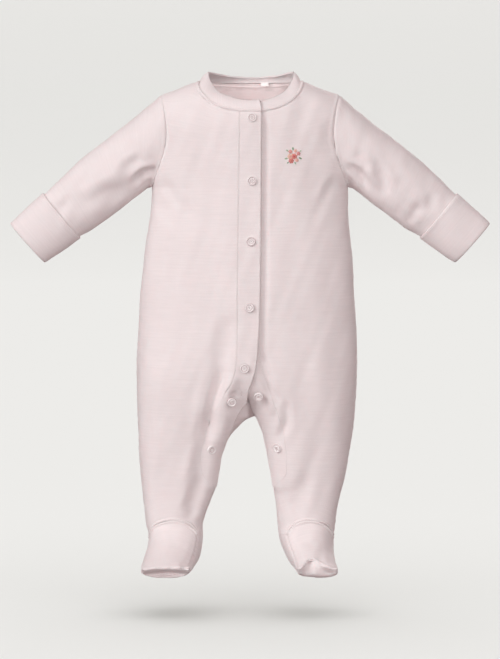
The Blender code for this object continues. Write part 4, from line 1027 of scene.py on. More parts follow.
def arm_skin(side, rings, at):
    """Rings of the arm's outer face between the guide rings, with the arm's folds."""
    found = smooth(at, np.arange(len(rings), dtype=float), rings)
    depth = fold_depth(ARM_FOLDS, np.abs(found[..., 0]), found[..., 2], side)
    middle = found[..., 1].mean(axis=-1, keepdims=True)
    reach = np.abs(found[..., 1] - middle).max(axis=-1, keepdims=True)
    inward = -(found[..., 1] - middle) / reach
    found[..., 1] += depth * np.where(inward > 0, inward, inward * 0.4) * ease(at)[:, None]
    return found


def collar_top(base):
    """Points of the neckband's open top over the neckline's points."""
    spread = base[:, :2] - np.array(COLLAR_MIDDLE)
    depth = np.where(spread[:, 1] < 0, COLLAR_DEPTHS[0], COLLAR_DEPTHS[1])
    angle = np.arctan2(spread[:, 1] / depth, spread[:, 0] / NECK_HALF)
    reach = np.where(angle < 0, -COLLAR_REACH[0] + COLLAR_MIDDLE[1], COLLAR_REACH[1] - COLLAR_MIDDLE[1])
    x = COLLAR_MIDDLE[0] + COLLAR_HALF * np.cos(angle)
    y = COLLAR_MIDDLE[1] + reach * np.sin(angle)
    out = np.abs(np.cos(angle))
    front = COLLAR_TOP[1] + (COLLAR_TOP[0] - COLLAR_TOP[1]) * (1 - out ** NECK_POWER) ** (1 / NECK_POWER)
    back = COLLAR_TOP[1] + (COLLAR_TOP[2] - COLLAR_TOP[1]) * (1 - out ** 2)
    return np.stack((x, y, np.where(angle < 0, front, back)), axis=-1)


def collar_grid(chain, even, right_band):
    """The neckband from just under the neckline's chain to its top over the even chain.

    Its right end is raised, and its sewn edge is turned in under the cloth.
    """
    run = lengths_along(chain[None])[0]
    past = run - run[right_band]
    rise = (DOUBLED + LAYER_GAP) * ease(1 - np.clip(past, 0.0, None) / COLLAR_FADE)
    top = collar_top(even)
    normal = unit(np.cross(np.gradient(even, axis=0), top - even))
    away = even - np.array((COLLAR_MIDDLE[0], COLLAR_MIDDLE[1], -20.0))
    normal *= np.sign((normal * away).sum(axis=-1, keepdims=True))
    s = np.unique(np.concatenate((np.linspace(0, 1, 13), [TURNED_IN, 0.03, 0.97])))[:, None]
    out = COLLAR_BELLY * 4 * s * (1 - s) + rise * s
    return chain + (top - chain) * s[..., None] + normal * out[..., None]


def neckband_grid():
    """The neckband over the whole neckline, from the upper band's free edge to the lower one's."""
    lines = {}
    for side in (-1, 1):
        cell = steps(FRONT_NECK_CELLS, SHOULDER_CELLS)
        front = front_grid(side)[0][cell <= FRONT_NECK_CELLS]
        cell = steps(BACK_NECK_CELLS, SHOULDER_CELLS)
        back = upper(side, 1)[0][cell <= BACK_NECK_CELLS]
        lines[side] = (band_grid(side)[0], front, back)
    band, front, back = lines[-1]
    left_band, left_front, left_back = lines[1]
    chain = np.concatenate((band, front[1:], back[-2::-1], left_back[1:], left_front[-2::-1],
                            left_band[-2::-1]))
    even = np.copy(chain)
    for _ in range(6):
        even[1:-1] = (even[:-2] + 2 * even[1:-1] + even[2:]) / 4
    return collar_grid(chain, even, len(band) - 1)[::-1]


# ---------------------------------------------------------------- relief of the cloth


def creases(rows, x, z):
    """Sum the creases at (x, z): a bell across a bowed line between two soft lips, fading at its ends."""
    height = np.zeros(x.shape)
    t = np.linspace(0.0, 1.0, 13)
    for x0, z0, x1, z1, bow, depth, width in zip(*rows.values()):
        reach = math.hypot(x1 - x0, z1 - z0)
        swell = 4 * bow * t * (1 - t) / reach
        line_x = x0 + (x1 - x0) * t + (z1 - z0) * swell
        line_z = z0 + (z1 - z0) * t - (x1 - x0) * swell
        line = np.stack((line_x, line_z), axis=-1)
        margin = 3.6 * width
        near = ((x > line_x.min() - margin) & (x < line_x.max() + margin)
                & (z > line_z.min() - margin) & (z < line_z.max() + margin))
        spot = np.stack((x[near], z[near]), axis=-1)[:, None]
        run = np.diff(line, axis=0)
        size = np.linalg.norm(run, axis=1)
        along = np.clip(((spot - line[:-1]) * run).sum(axis=-1) / size ** 2, 0.0, 1.0)
        gap = spot - line[:-1] - along[..., None] * run
        away = np.linalg.norm(gap, axis=-1)
        best = away.argmin(axis=1)
        each = np.arange(len(best))
        d = away[each, best] / width
        at = (best + along[each, best]) / (len(t) - 1)
        hand = np.sign(gap[each, best, 0] * run[best, 1] - gap[each, best, 1] * run[best, 0])
        lips = 0.36 * (1 + 0.45 * hand) * bell(d, 1.8, 0.8)
        fade = ease(at * 3.5) * ease((1 - at) * 2.6)
        height[near] += depth * fade * (lips - np.exp(-d * d))
    return height


def waves(rows, points):
    """Sum of slow sine waves through space."""
    turns = np.stack((rows["x"], rows["y"], rows["z"]))
    return (rows["height"] * np.sin(2 * math.pi * points @ turns + rows["phase"])).sum(axis=-1)


def relief(points, normals, edge, crease=1.0, pucker=0.3, dip=0.5, ridge=0.35):
    """Height of the cloth off its skin: creases by the way it faces, waves, seam puckers and dips.

    Beside a seam the cloth sinks to it, then stands proud over the seam's turned-in edges. The front's
    creases stop short of the seam over the foot.
    """
    x, z = points[..., 0], points[..., 2]
    calm = 1 - np.exp(-((z + VAMP_MIDDLE_Z) / 14.0) ** 4)
    front = ease(-normals[..., 1] * 1.3) * calm * creases(FRONT_CREASES, x, z)
    back = ease(normals[..., 1] * 1.3) * creases(BACK_CREASES, x, z)
    puckers = waves(PUCKERS, points) * np.exp(-edge / 4.5) * pucker
    seam = ridge * bell(edge, 3.4, 1.8) - dip * bell(edge, 0.0, 1.3)
    return crease * (front + back) + waves(WAVES, points) + puckers + seam


# ---------------------------------------------------------------- meshes


def edge_distance(points, sides):
    """Length along the grid to the nearest of its named sides: first, last, top or bottom."""
    across, down = lengths_along(points), lengths_down(points)
    lengths = {"first": across, "last": across[:, -1:] - across, "top": down, "bottom": down[-1] - down}
    return np.minimum.reduce([np.full(points.shape[:2], FAR), *(lengths[side] for side in sides)])


def cloth_uv(points):
    """Length along the rows, and the rows' mean distance down the grid."""
    across = lengths_along(points)
    down = lengths_down(points).mean(axis=1)
    return np.stack((across, np.broadcast_to(down[:, None], across.shape)), axis=-1)


def quad_corners(grid):
    """The four corners of each quad of a grid of numbers or points, in turn."""
    return np.stack((grid[:-1, :-1], grid[:-1, 1:], grid[1:, 1:], grid[1:, :-1]), axis=2)


def grid_faces(rows, columns, start=0, wrap=False):
    """Corner indices of a grid's quads, row by row."""
    index = start + np.arange(rows * columns).reshape(rows, columns)
    if wrap:
        index = np.concatenate((index, index[:, :1]), axis=1)
    return quad_corners(index).reshape(-1, 4)


def face_normals(points, faces):
    """Cross of each quad's diagonals."""
    return np.cross(points[faces[:, 2]] - points[faces[:, 0]], points[faces[:, 3]] - points[faces[:, 1]])


def point_normals(points, faces):
    """Mean direction of the quads round each point."""
    total = np.zeros_like(points)
    facing = face_normals(points, faces)
    for corner in range(4):
        np.add.at(total, faces[:, corner], facing)
    return unit(total)


def rim_edges(faces):
    """Edges that only one quad has, in that quad's order, and the quad of each."""
    a = faces.ravel()
    b = np.roll(faces, -1, axis=1).ravel()
    key = np.minimum(a, b) * (faces.max() + 1) + np.maximum(a, b)
    _, first, count = np.unique(key, return_index=True, return_counts=True)
    lone = first[count == 1]
    lone = lone[a[lone] != b[lone]]
    return a[lone], b[lone], lone // 4


def walled(points, faces, thickness, roll, rows=3):
    """Give an open face a wall: an inner copy, and a rim rounded over half an oval.

    The oval's depth is roll times the thickness, for each point: slight where it is sewn to the next
    piece, and full at a free edge.
    """
    normals = point_normals(points, faces)
    depth = (np.broadcast_to(roll, len(points)) * thickness)[:, None]
    a, b, owner = rim_edges(faces)
    facing = face_normals(points, faces)[owner]
    outward = np.zeros_like(points)
    side = unit(np.cross(points[b] - points[a], facing))
    np.add.at(outward, a, side)
    np.add.at(outward, b, side)
    outward = unit(outward)
    outer = points - outward * (depth + 0.01)
    inner = outer - normals * thickness
    rim, place = np.unique(np.concatenate((a, b)), return_inverse=True)
    a_rim, b_rim = place[:len(a)], place[len(a):]
    angle = np.linspace(0.0, math.pi, rows + 2)[1:-1, None, None]
    turn = outer[rim] - normals[rim] * thickness / 2 * (1 - np.cos(angle))
    turn = turn + outward[rim] * depth[rim] * np.sin(angle)
    count = len(points)
    between_them = [np.stack((a_rim, b_rim)) + 2 * count + k * len(rim) for k in range(rows)]
    rings = [np.stack((a, b)), *between_them, np.stack((a, b)) + count]
    rims = [np.stack((upper[1], upper[0], lower[0], lower[1]), axis=1)
            for upper, lower in zip(rings, rings[1:])]
    faces = np.concatenate((faces, faces[:, ::-1] + count, *rims))
    source = np.concatenate((np.arange(count), np.arange(count), np.tile(rim, rows)))
    return np.concatenate((outer, inner, turn.reshape(-1, 3))), faces, source


def build_mesh(name, points, faces, uv=None):
    """Make an object from arrays of points in mm and quads, with one UV pair a corner."""
    mesh = bpy.data.meshes.new(name)
    mesh.vertices.add(len(points))
    mesh.vertices.foreach_set("co", (points * MM).astype(np.float32).ravel())
    mesh.loops.add(faces.size)
    mesh.loops.foreach_set("vertex_index", faces.ravel().astype(np.int32))
    mesh.polygons.add(len(faces))
    mesh.polygons.foreach_set("loop_start", np.arange(0, faces.size, faces.shape[1], dtype=np.int32))
    if uv is not None:
        layer = mesh.uv_layers.new(name="cloth")
        layer.data.foreach_set("uv", (uv * MM).astype(np.float32).ravel())
    mesh.update(calc_edges=True)
    mesh.validate()
    mesh.shade_smooth()
    piece = bpy.data.objects.new(name, mesh)
    bpy.context.scene.collection.objects.link(piece)
    return piece


def free_edges(shape, sides):
    """Rim roundness over a grid: full along its named free sides, and slight elsewhere."""
    roll = np.full(shape[:2], SEWN)
    place = {"first": np.s_[:, 0], "last": np.s_[:, -1], "top": np.s_[0], "bottom": np.s_[-1]}
    for side in sides:
        roll[place[side]] = FREE
    return roll


def join_grids(parts):
    """Join grids (points, edge distance, wrap, roll) into welded points, quads, distances, UVs, rolls."""
    start = 0
    stacks, quads, uvs, edges, rolls = [], [], [], [], []
    for points, edge, wrap, roll in parts:
        rows, columns = points.shape[:2]
        quads.append(grid_faces(rows, columns, start, wrap))
        stacks.append(points.reshape(-1, 3))
        uvs.append(cloth_uv(points).reshape(-1, 2))
        edges.append(edge.ravel())
        rolls.append(roll.ravel())
        start += rows * columns
    points = np.concatenate(stacks)
    faces = np.concatenate(quads)
    uv = np.concatenate(uvs)
    _, first, weld = np.unique(points.round(3), axis=0, return_index=True, return_inverse=True)
    weld = weld.ravel()
    near = np.full(len(first), np.inf)
    np.minimum.at(near, weld, np.concatenate(edges))
    roll = np.zeros(len(first))
    np.maximum.at(roll, weld, np.concatenate(rolls))
    return points[first], weld[faces], near, uv[faces], roll


def flat_cut(grids, wrap=False):
    """Width, length and area of a flat cut, in metres: longest row, longest column and its quads' sum."""
    width = sum(lengths_along(grid)[:, -1].max() for grid in grids)
    length = max(lengths_down(grid)[-1].max() for grid in grids)
    area = 0.0
    for grid in grids:
        quads = face_normals(grid.reshape(-1, 3), grid_faces(*grid.shape[:2], 0, wrap))
        area += np.linalg.norm(quads, axis=1).sum() / 2
    if wrap:
        width += np.linalg.norm(grids[0][:, 0] - grids[0][:, -1], axis=-1).max()
    return (width * MM, length * MM), area * MM * MM


def cloth_piece(name, parts, thickness, finish, nodes, shape=None, turned=False, **looks):
    """A wall of cloth over grids, with its relief, replacing the nodes."""
    points, faces, edge, uv, roll = join_grids(parts)
    normals = point_normals(points, faces)
    points = points + normals * relief(points, normals, edge, **looks)[:, None]
    if shape is not None:
        points = shape(points)
    solid, all_faces, source = walled(points, faces, thickness, roll)
    if turned:
        uv = uv[..., ::-1]
    by_point = np.zeros((len(points), 2))
    by_point[faces.ravel()] = uv.reshape(-1, 2)
    corner = by_point[source][all_faces]
    corner[:len(faces)] = uv
    corner[len(faces):2 * len(faces)] = uv[:, ::-1]
    piece = build_mesh(name, solid, all_faces, corner)
    dress(piece, finish, nodes)
    return piece


def dress(piece, finish, nodes=()):
    """Give a piece its material and slot, and hang it on the garment's one body."""
    piece.data.materials.append(material(finish))
    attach(piece, "root")
    if nodes:
        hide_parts(*nodes)


def panel(side, grid, seams, free=()):
    """A grid's part of a piece, its columns ordered so that its faces point out."""
    order = np.s_[:] if side < 0 else np.s_[:, ::-1]
    return grid[order], edge_distance(grid, seams)[order], False, free_edges(grid.shape, free)[order]


# ---------------------------------------------------------------- materials


def node(tree, kind, **values):
    """Add a shader node and set its inputs by name."""
    made = tree.nodes.new(kind)
    for name, value in values.items():
        made.inputs[name.replace("_", " ")].default_value = value
    return made


def maths(tree, operation, a, b=None):
    """A maths node over sockets or numbers."""
    made = tree.nodes.new("ShaderNodeMath")
    made.operation = operation
    for slot_index, value in enumerate((a, b)):
        if value is None:
            continue
        if isinstance(value, (int, float)):
            made.inputs[slot_index].default_value = value
        else:
            tree.links.new(value, made.inputs[slot_index])
    return made.outputs[0]


def weighted(tree, *parts):
    """Sum of sockets, each times its own weight."""
    total = None
    for socket, weight in parts:
        each = maths(tree, "MULTIPLY", socket, weight)
        total = each if total is None else maths(tree, "ADD", total, each)
    return total


def noise(tree, place, **values):
    """Noise over a place."""
    made = node(tree, "ShaderNodeTexNoise", **values)
    tree.links.new(place, made.inputs["Vector"])
    return made.outputs["Fac"]


def new_finish(name, **values):
    """A new material, its node tree and its shader, with the shader's inputs set by name."""
    made = bpy.data.materials.new(name)
    made.use_nodes = True
    shader = made.node_tree.nodes["Principled BSDF"]
    for key, value in values.items():
        shader.inputs[key.replace("_", " ")].default_value = value
    return made, made.node_tree, shader


def tint(tree, shader, colour, dark, light, share):
    """Colour a shader between a darker and a lighter tone of one colour, by a share."""
    shade = tree.nodes.new("ShaderNodeMix")
    shade.data_type = "RGBA"
    shade.inputs["A"].default_value = tuple(part * dark for part in colour[:3]) + (1.0,)
    shade.inputs["B"].default_value = tuple(min(part * light, 1.0) for part in colour[:3]) + (1.0,)
    tree.links.new(share, shade.inputs["Factor"])
    tree.links.new(shade.outputs["Result"], shader.inputs["Base Color"])


def emboss(tree, shader, height, strength, distance):
    """Give a shader fine relief from a height."""
    bump = node(tree, "ShaderNodeBump", Strength=strength, Distance=distance)
    tree.links.new(height, bump.inputs["Height"])
    tree.links.new(bump.outputs[0], shader.inputs["Normal"])


def knit(name, colour, looks):
    """Cotton jersey: ribs of stitches along the cloth's own lengths, faint courses, nap and fuzz."""
    made, tree, shader = new_finish(
        name, Roughness=looks.roughness, Sheen_Weight=looks.nap, Sheen_Roughness=0.45,
        Sheen_Tint=(1.0, 0.93, 0.92, 1.0), Specular_IOR_Level=0.18, Subsurface_Weight=0.12,
        Subsurface_Radius=(1.0, 0.5, 0.5), Subsurface_Scale=0.0012)
    place = tree.nodes.new("ShaderNodeTexCoord")
    split = tree.nodes.new("ShaderNodeSeparateXYZ")
    tree.links.new(place.outputs["UV"], split.inputs[0])
    across = maths(tree, "MULTIPLY", split.outputs[0], math.pi * 1000 / looks.wale)
    down = maths(tree, "MULTIPLY", split.outputs[1], 2 * math.pi * 1000 / looks.course)
    ribs = maths(tree, "ABSOLUTE", maths(tree, "SINE", across))
    slant = maths(tree, "MULTIPLY", ribs, 1.6)
    rows = maths(tree, "SINE", maths(tree, "ADD", down, slant))
    stitch = maths(tree, "ADD", ribs, maths(tree, "MULTIPLY", rows, 0.35))
    streak = node(tree, "ShaderNodeMapping", Scale=(30.0, 560.0, 1.0))
    tree.links.new(place.outputs["UV"], streak.inputs["Vector"])
    courses = noise(tree, streak.outputs[0], Scale=1.0, Detail=3.0, Roughness=0.6)
    fuzz = noise(tree, place.outputs["Object"], Scale=900.0, Detail=4.0, Roughness=0.7)
    cloud = noise(tree, place.outputs["Object"], Scale=38.0, Detail=3.0, Roughness=0.55)
    tone = weighted(tree, (courses, 0.21), (cloud, 0.08), (fuzz, 0.12), (stitch, 0.02))
    spread = node(tree, "ShaderNodeMapRange", From_Min=0.14, From_Max=0.34)
    tree.links.new(tone, spread.inputs["Value"])
    tint(tree, shader, colour, 0.93, 1.04, spread.outputs[0])
    emboss(tree, shader, weighted(tree, (stitch, 0.5), (courses, 0.9), (fuzz, 0.9)), 0.35, 0.0004)
    return made


def plain(name, colour, roughness, grain=0.0, sheen=0.0, coat=0.0):
    """A single finish with a fine mottled tone and a little grain."""
    made, tree, shader = new_finish(name, Roughness=roughness, Sheen_Weight=sheen, Coat_Weight=coat)
    place = tree.nodes.new("ShaderNodeTexCoord")
    mottle = noise(tree, place.outputs["Object"], Scale=420.0, Detail=3.0)
    tint(tree, shader, colour, 0.9, 1.08, mottle)
    if grain:
        emboss(tree, shader, mottle, grain, 0.0002)
    return made


FINISHES = {}
THREADS = {
    "petal_rose": (0.72, 0.20, 0.19),
    "petal_coral": (0.80, 0.33, 0.27),
    "petal_blush": (0.86, 0.52, 0.50),
    "petal_peach": (0.87, 0.60, 0.45),
    "heart_red": (0.50, 0.07, 0.09),
    "leaf": (0.24, 0.40, 0.25),
    "leaf_pale": (0.44, 0.56, 0.40),
}


def material(finish):
    """Find or make the material of a finish."""
    if finish not in FINISHES:
        looks = bpy.context.scene.sleepsuit_cloth
        if finish == "cloth":
            made = knit("cotton_jersey", tuple(looks.colour), looks)
        elif finish == "ribbing":
            made = knit("band_jersey", tuple(looks.band_colour), looks)
        elif finish == "thread":
            made = plain("sewing_thread", tuple(bpy.context.scene.sleepsuit_sewing.colour), 0.7, 0.3, 0.4)
        elif finish == "snap":
            made = plain("pearl_snap", tuple(bpy.context.scene.sleepsuit_snaps.colour), 0.32, 0.02, 0.0, 0.35)
        # The snap's dish and groove: the cloth's pink seen through the open ring, made darker as painted
        # shade in these recesses.
        elif finish == "snap_well_painted_shade":
            made = plain("snap_well_painted_shade", (0.72, 0.61, 0.61), 0.8, 0.4)
        elif finish == "tab":
            made = plain("white_tape", (0.90, 0.89, 0.88), 0.6, 0.4, 0.2)
        else:
            made = plain(finish, THREADS[finish], 0.55, 0.4, 0.3)
        FINISHES[finish] = made
    return FINISHES[finish]


# ---------------------------------------------------------------- stitches


THREAD_SIDES = 6
THREAD_LIFT = 0.12


def stitch_mesh(start, end, normal, radius, arch=0.5):
    """Threads from start to end: a six-sided tube over five sections, arched off the cloth, narrow ends."""
    t = np.array([0.0, 0.12, 0.5, 0.88, 1.0])
    wide = np.array([0.35, 0.85, 1.0, 0.85, 0.35])
    high = np.array([-0.5, 0.1, 1.0, 0.1, -0.5])
    run = end - start
    side = unit(np.cross(unit(run), normal))
    middle = start[:, None] + run[:, None] * t[:, None] + normal[:, None] * (high * arch * radius)[:, None]
    angle = np.linspace(0.0, 2 * math.pi, THREAD_SIDES + 1)[:-1]
    around = (side[:, None, None] * np.cos(angle)[:, None]
              + normal[:, None, None] * np.sin(angle)[:, None] * 0.8)
    points = middle[:, :, None] + around * (wide * radius)[None, :, None, None]
    count = len(start)
    one = grid_faces(len(t), THREAD_SIDES, 0, True)
    ends = np.array([[3, 2, 1, 0], [5, 4, 3, 0], [24, 25, 26, 27], [24, 27, 28, 29]])
    one = np.concatenate((one[:, ::-1], ends[:, ::-1]))
    faces = (one[None] + (np.arange(count) * len(t) * THREAD_SIDES)[:, None, None]).reshape(-1, 4)
    return points.reshape(-1, 3), faces


def stitch_line(points, normals, pitch, length, off):
    """Starts, ends and normals of stitches at even steps along a line of points."""
    run = lengths_along(points[None])[0]
    at = np.arange(0.5 * pitch, run[-1] - length, pitch)
    read = [np.interp(at + shift, run, points[:, k]) for shift in (0.0, length) for k in range(3)]
    turn = unit(np.stack([np.interp(at + length / 2, run, normals[:, k]) for k in range(3)], axis=-1))
    start = np.stack(read[:3], axis=-1) + turn * off
    end = np.stack(read[3:], axis=-1) + turn * off
    return start, end, turn


def sewn(name, lines, finish="thread"):
    """One piece of all the stitches of the given lines."""
    sewing = bpy.context.scene.sleepsuit_sewing
    found = [stitch_line(*line, sewing.pitch, sewing.length, THREAD_LIFT) for line in lines]
    start, end, normal = (np.concatenate(part) for part in zip(*found))
    points, faces = stitch_mesh(start, end, normal, sewing.thread / 2)
    piece = build_mesh(name, points, faces)
    dress(piece, finish)
    return piece


def grid_line(points, edge, where, side, stretch=slice(None), shape=None, inside=0.0, **looks):
    """A line of a grid at a fixed distance from one of its sides, on the finished cloth.

    With inside it lies on the cloth's inner face, that thickness behind the outer one.
    """
    normals = grid_normals(points) * side
    raised = points + normals * relief(points, normals, edge, **looks)[..., None]
    if shape is not None:
        raised = shape(raised)
    if inside:
        raised, normals = raised - normals * inside, -normals
    kind, away = where
    if kind in ("top", "bottom"):
        raised, normals = raised.swapaxes(0, 1), normals.swapaxes(0, 1)
    raised, normals = raised[stretch], normals[stretch]
    run = lengths_along(raised)
    wanted = np.full(len(run), away) if kind in ("first", "top") else run[:, -1] - away
    row, k, part = locate(run, wanted[:, None])
    return blend(raised[row, k], raised[row, k + 1], part[..., None])[:, 0], normals[row, k][:, 0]


# ---------------------------------------------------------------- settings


class SleepsuitCloth(bpy.types.PropertyGroup):
    """Colours and knit of the cloth."""
    colour: bpy.props.FloatVectorProperty(
        name="Cloth", description="Colour of the jersey", subtype="COLOR", size=3, min=0, max=1,
        default=(0.915, 0.84, 0.84))
    band_colour: bpy.props.FloatVectorProperty(
        name="Bands", description="Colour of the neckband and cuffs", subtype="COLOR", size=3, min=0, max=1,
        default=(0.915, 0.84, 0.84))
    roughness: bpy.props.FloatProperty(
        name="Roughness", description="How matt the cloth is", subtype="FACTOR", min=0, max=1, default=0.9)
    nap: bpy.props.FloatProperty(
        name="Nap", description="Soft sheen of the brushed cotton", subtype="FACTOR",
        min=0, max=1, default=0.35)
    wale: bpy.props.FloatProperty(
        name="Wale", description="Width of one rib of stitches, in mm", min=0.4, max=4, default=1.1)
    course: bpy.props.FloatProperty(
        name="Course", description="Height of one row of stitches, in mm", min=0.4, max=4, default=0.9)


class SleepsuitSewing(bpy.types.PropertyGroup):
    """Thread and stitch sizes."""
    colour: bpy.props.FloatVectorProperty(
        name="Thread", description="Colour of the sewing thread", subtype="COLOR", size=3, min=0, max=1,
        default=(0.96, 0.88, 0.87))
    pitch: bpy.props.FloatProperty(
        name="Pitch", description="From one stitch to the next, in mm", min=1, max=8, default=2.7)
    length: bpy.props.FloatProperty(
        name="Length", description="Length of one stitch, in mm", min=0.5, max=6, default=2.1)
    thread: bpy.props.FloatProperty(
        name="Thickness", description="Thickness of the thread, in mm", min=0.1, max=2, default=0.6)
    floss: bpy.props.FloatProperty(
        name="Floss", description="Thickness of the posy's threads, in mm", min=0.1, max=2, default=0.52)


class SleepsuitSnaps(bpy.types.PropertyGroup):
    """Finish of the ring snaps."""
    colour: bpy.props.FloatVectorProperty(
        name="Snap", description="Colour of the ring snaps", subtype="COLOR", size=3, min=0, max=1,
        default=(0.94, 0.885, 0.885))


class SleepsuitStage(bpy.types.PropertyGroup):
    """Camera, lights and floor."""
    distance: bpy.props.FloatProperty(
        name="Distance", description="From the camera to the garment", unit="LENGTH", default=3.5)
    rise: bpy.props.FloatProperty(
        name="Rise", description="How far the camera stands above level", subtype="ANGLE",
        default=math.radians(4.0))
    floor: bpy.props.FloatProperty(
        name="Floor", description="Height of the floor", unit="LENGTH", default=-0.580)
    key: bpy.props.FloatProperty(
        name="Key", description="Strength of the main light", subtype="FACTOR", min=0, max=3, default=1.0)


# ---------------------------------------------------------------- the pieces


FRONT_SEAMS = ("last",)
BACK_SEAMS = ("first",)
FOOT_SEAMS = ("first", "last", "bottom")


class SLEEPSUIT_OT_fronts(bpy.types.Operator):
    """Make the two front panels"""
    bl_idname = "sleepsuit.fronts"
    bl_label = "Fronts"

    def execute(self, context):
        for name, side in SIDES.items():
            grid = front_grid(side)
            piece = cloth_piece(f"front_{name}_jersey", [panel(side, grid, FRONT_SEAMS)], CLOTH, "cloth",
                                [f"front_{name}"])
            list(flat_cut([grid]))
        return {"FINISHED"}


class SLEEPSUIT_OT_back(bpy.types.Operator):
    """Make the back with its underlap between the legs"""
    bl_idname = "sleepsuit.back"
    bl_label = "Back"

    def execute(self, context):
        parts, halves, flaps = [], [], []
        for side in SIDES.values():
            grid, under = back_grids(side)
            parts.append(panel(side, grid, BACK_SEAMS))
            parts.append(panel(side, under, (), ("last",)))
            halves.append(grid)
            flaps.append(under)
        piece = cloth_piece("back_jersey", parts, CLOTH, "cloth", ["back"])
        flat, area = flat_cut(halves)
        area + flat_cut(flaps)[1]
        return {"FINISHED"}


class SLEEPSUIT_OT_closing(bpy.types.Operator):
    """Make the two closing bands of the front and inner legs"""
    bl_idname = "sleepsuit.closing"
    bl_label = "Closing bands"

    def execute(self, context):
        for name, side in SIDES.items():
            grid = band_grid(side)
            piece = cloth_piece(f"placket_{name}_jersey", [panel(side, grid, (), ("first",))],
                                DOUBLED, "cloth", [f"placket_{name}"])
            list(flat_cut([grid]))
        return {"FINISHED"}


class SLEEPSUIT_OT_feet(bpy.types.Operator):
    """Make the tops and the soles of the feet"""
    bl_idname = "sleepsuit.feet"
    bl_label = "Feet"

    def execute(self, context):
        for name, side in SIDES.items():
            for piece, grid in zip(("vamp", "sole"), foot_grids(side)):
                made = cloth_piece(f"{piece}_{name}_jersey", [panel(side, grid, FOOT_SEAMS)],
                                   CLOTH, "cloth", [f"{piece}_{name}"], shape=toe_shape, dip=0.12, ridge=0.4)
                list(flat_cut([grid]))
        return {"FINISHED"}


def toe_shape(points):
    """Press the toes in: the sum of the presses, each its pull times a bell over its reach."""
    moved = points.copy()
    for x, y, z, across, along, pull_x, pull_y, pull_z in zip(*TOE_PRESSES.values()):
        away = (((points[:, 0] - x) / across) ** 2 + ((points[:, 1] - y) / along) ** 2
                + ((points[:, 2] - z) / along) ** 2)
        moved += np.exp(-away)[:, None] * np.array((pull_x, pull_y, pull_z))
    return moved


class SLEEPSUIT_OT_sleeves(bpy.types.Operator):
    """Make the sleeves and their fold-back cuffs"""
    bl_idname = "sleepsuit.sleeves"
    bl_label = "Sleeves and cuffs"

    def execute(self, context):
        for name, side in SIDES.items():
            rings = arm_rings(side)
            at = np.unique(np.concatenate((np.linspace(0, SLEEVE_END, 80), [0.03, 0.06])))
            sleeve = arm_skin(side, rings, at)
            edge = edge_distance(sleeve, ("top",))
            order = slice(None) if side > 0 else slice(None, None, -1)
            roll = free_edges(sleeve.shape, ("bottom",))
            piece = cloth_piece(f"sleeve_{name}_jersey", [(sleeve[:, order], edge[:, order], True, roll)],
                                CLOTH, "cloth", [f"sleeve_{name}"])
            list(flat_cut([sleeve], True))
            make_cuff(name, side, rings)
        return {"FINISHED"}


# The cuff's skin is read at this many places along the arm. Of the rows of its section, one carries the
# stitches and one lies on the outer face, where the way out is judged.
CUFF_SAMPLES = 181
CUFF_STITCHES = 15
CUFF_FACE = 18


def make_cuff(name, side, rings):
    """A fold-back cuff: a closed section carried round the arm, its free edge over the sleeve."""
    outer = CUFF_STEP + CUFF_LAYER
    first = SLEEVE_END + 0.012
    section = table(
        "at                height",
        (first,            0.0),
        (7.8,              0.0),
        (8.2,              0.0),
        (8.6,              0.0),
        (CUFF_END - 0.04,  0.05),
        (CUFF_END - 0.01,  CUFF_STEP / 2),
        (CUFF_END - 0.04,  CUFF_STEP - 0.05),
        (8.6,              CUFF_STEP),
        (8.2,              CUFF_STEP),
        (7.8,              CUFF_STEP),
        (7.4,              CUFF_STEP),
        (CUFF_EDGE + 0.03, CUFF_STEP),
        (CUFF_EDGE,        CUFF_STEP + 0.4),
        (CUFF_EDGE,        outer - 0.3),
        (CUFF_EDGE + 0.03, outer + 0.05),
        (CUFF_EDGE + 0.12, outer),
        (7.3,              outer - 0.15),
        (7.5,              outer - 0.1),
        (7.8,              outer),
        (8.2,              outer + 0.1),
        (8.6,              outer),
        (CUFF_END - 0.1,   outer - 0.1),
        (CUFF_END,         outer - 0.35),
        (CUFF_END + 0.045, outer - 0.9),
        (CUFF_END + 0.06,  CUFF_STEP / 2),
        (CUFF_END + 0.04,  -0.6),
        (CUFF_END - 0.04,  -CUFF_LAYER + 0.4),
        (8.6,              -CLOTH),
        (8.2,              -CLOTH),
        (7.8,              -CLOTH),
        (first,            -CLOTH),
    )
    fine = np.linspace(0.0, CUFF_END, CUFF_SAMPLES)
    skins = arm_skin(side, rings, fine)
    normals = grid_normals(skins)
    middle = skins.mean(axis=1, keepdims=True)
    normals *= np.sign((normals * (skins - middle)).sum(axis=-1, keepdims=True))
    at = np.minimum(section["at"], CUFF_END)
    beyond = (section["at"] - at)[:, None, None]
    forward = skins[-1] - skins[-1 - round((CUFF_SAMPLES - 1) / CUFF_END)]
    points = smooth(at, fine, skins) + forward * beyond
    facing = unit(smooth(at, fine, normals))
    height = section["height"][:, None] + relief(points, facing, np.full(points.shape[:2], FAR), pucker=0.0)
    points = points + facing * height[..., None]
    rows, columns = points.shape[:2]
    grid = np.concatenate((points, points[:1]))
    faces = grid_faces(rows + 1, columns, 0, True)
    faces = np.where(faces >= rows * columns, faces - rows * columns, faces)
    uv = cloth_uv(grid)
    uv = np.concatenate((uv, uv[:, -1:] + (uv[:, -1:] - uv[:, -2:-1])), axis=1)
    corner = quad_corners(uv).reshape(-1, 4, 2)
    face = face_normals(points.reshape(-1, 3), faces)[columns * CUFF_FACE:columns * (CUFF_FACE + 1)]
    if (face * (points[CUFF_FACE] - points[CUFF_FACE].mean(axis=0))).sum() < 0:
        faces, corner = faces[:, ::-1], corner[:, ::-1]
    piece = build_mesh(f"cuff_{name}_fold", points.reshape(-1, 3), faces, corner)
    dress(piece, "ribbing", [f"cuff_{name}"])
    (width, length), area = flat_cut([points], True)
    ring = [np.concatenate((row, row[:1])) for row in (points[CUFF_STITCHES], facing[CUFF_STITCHES])]
    sewn(f"stitches_cuff_{name}", [ring])


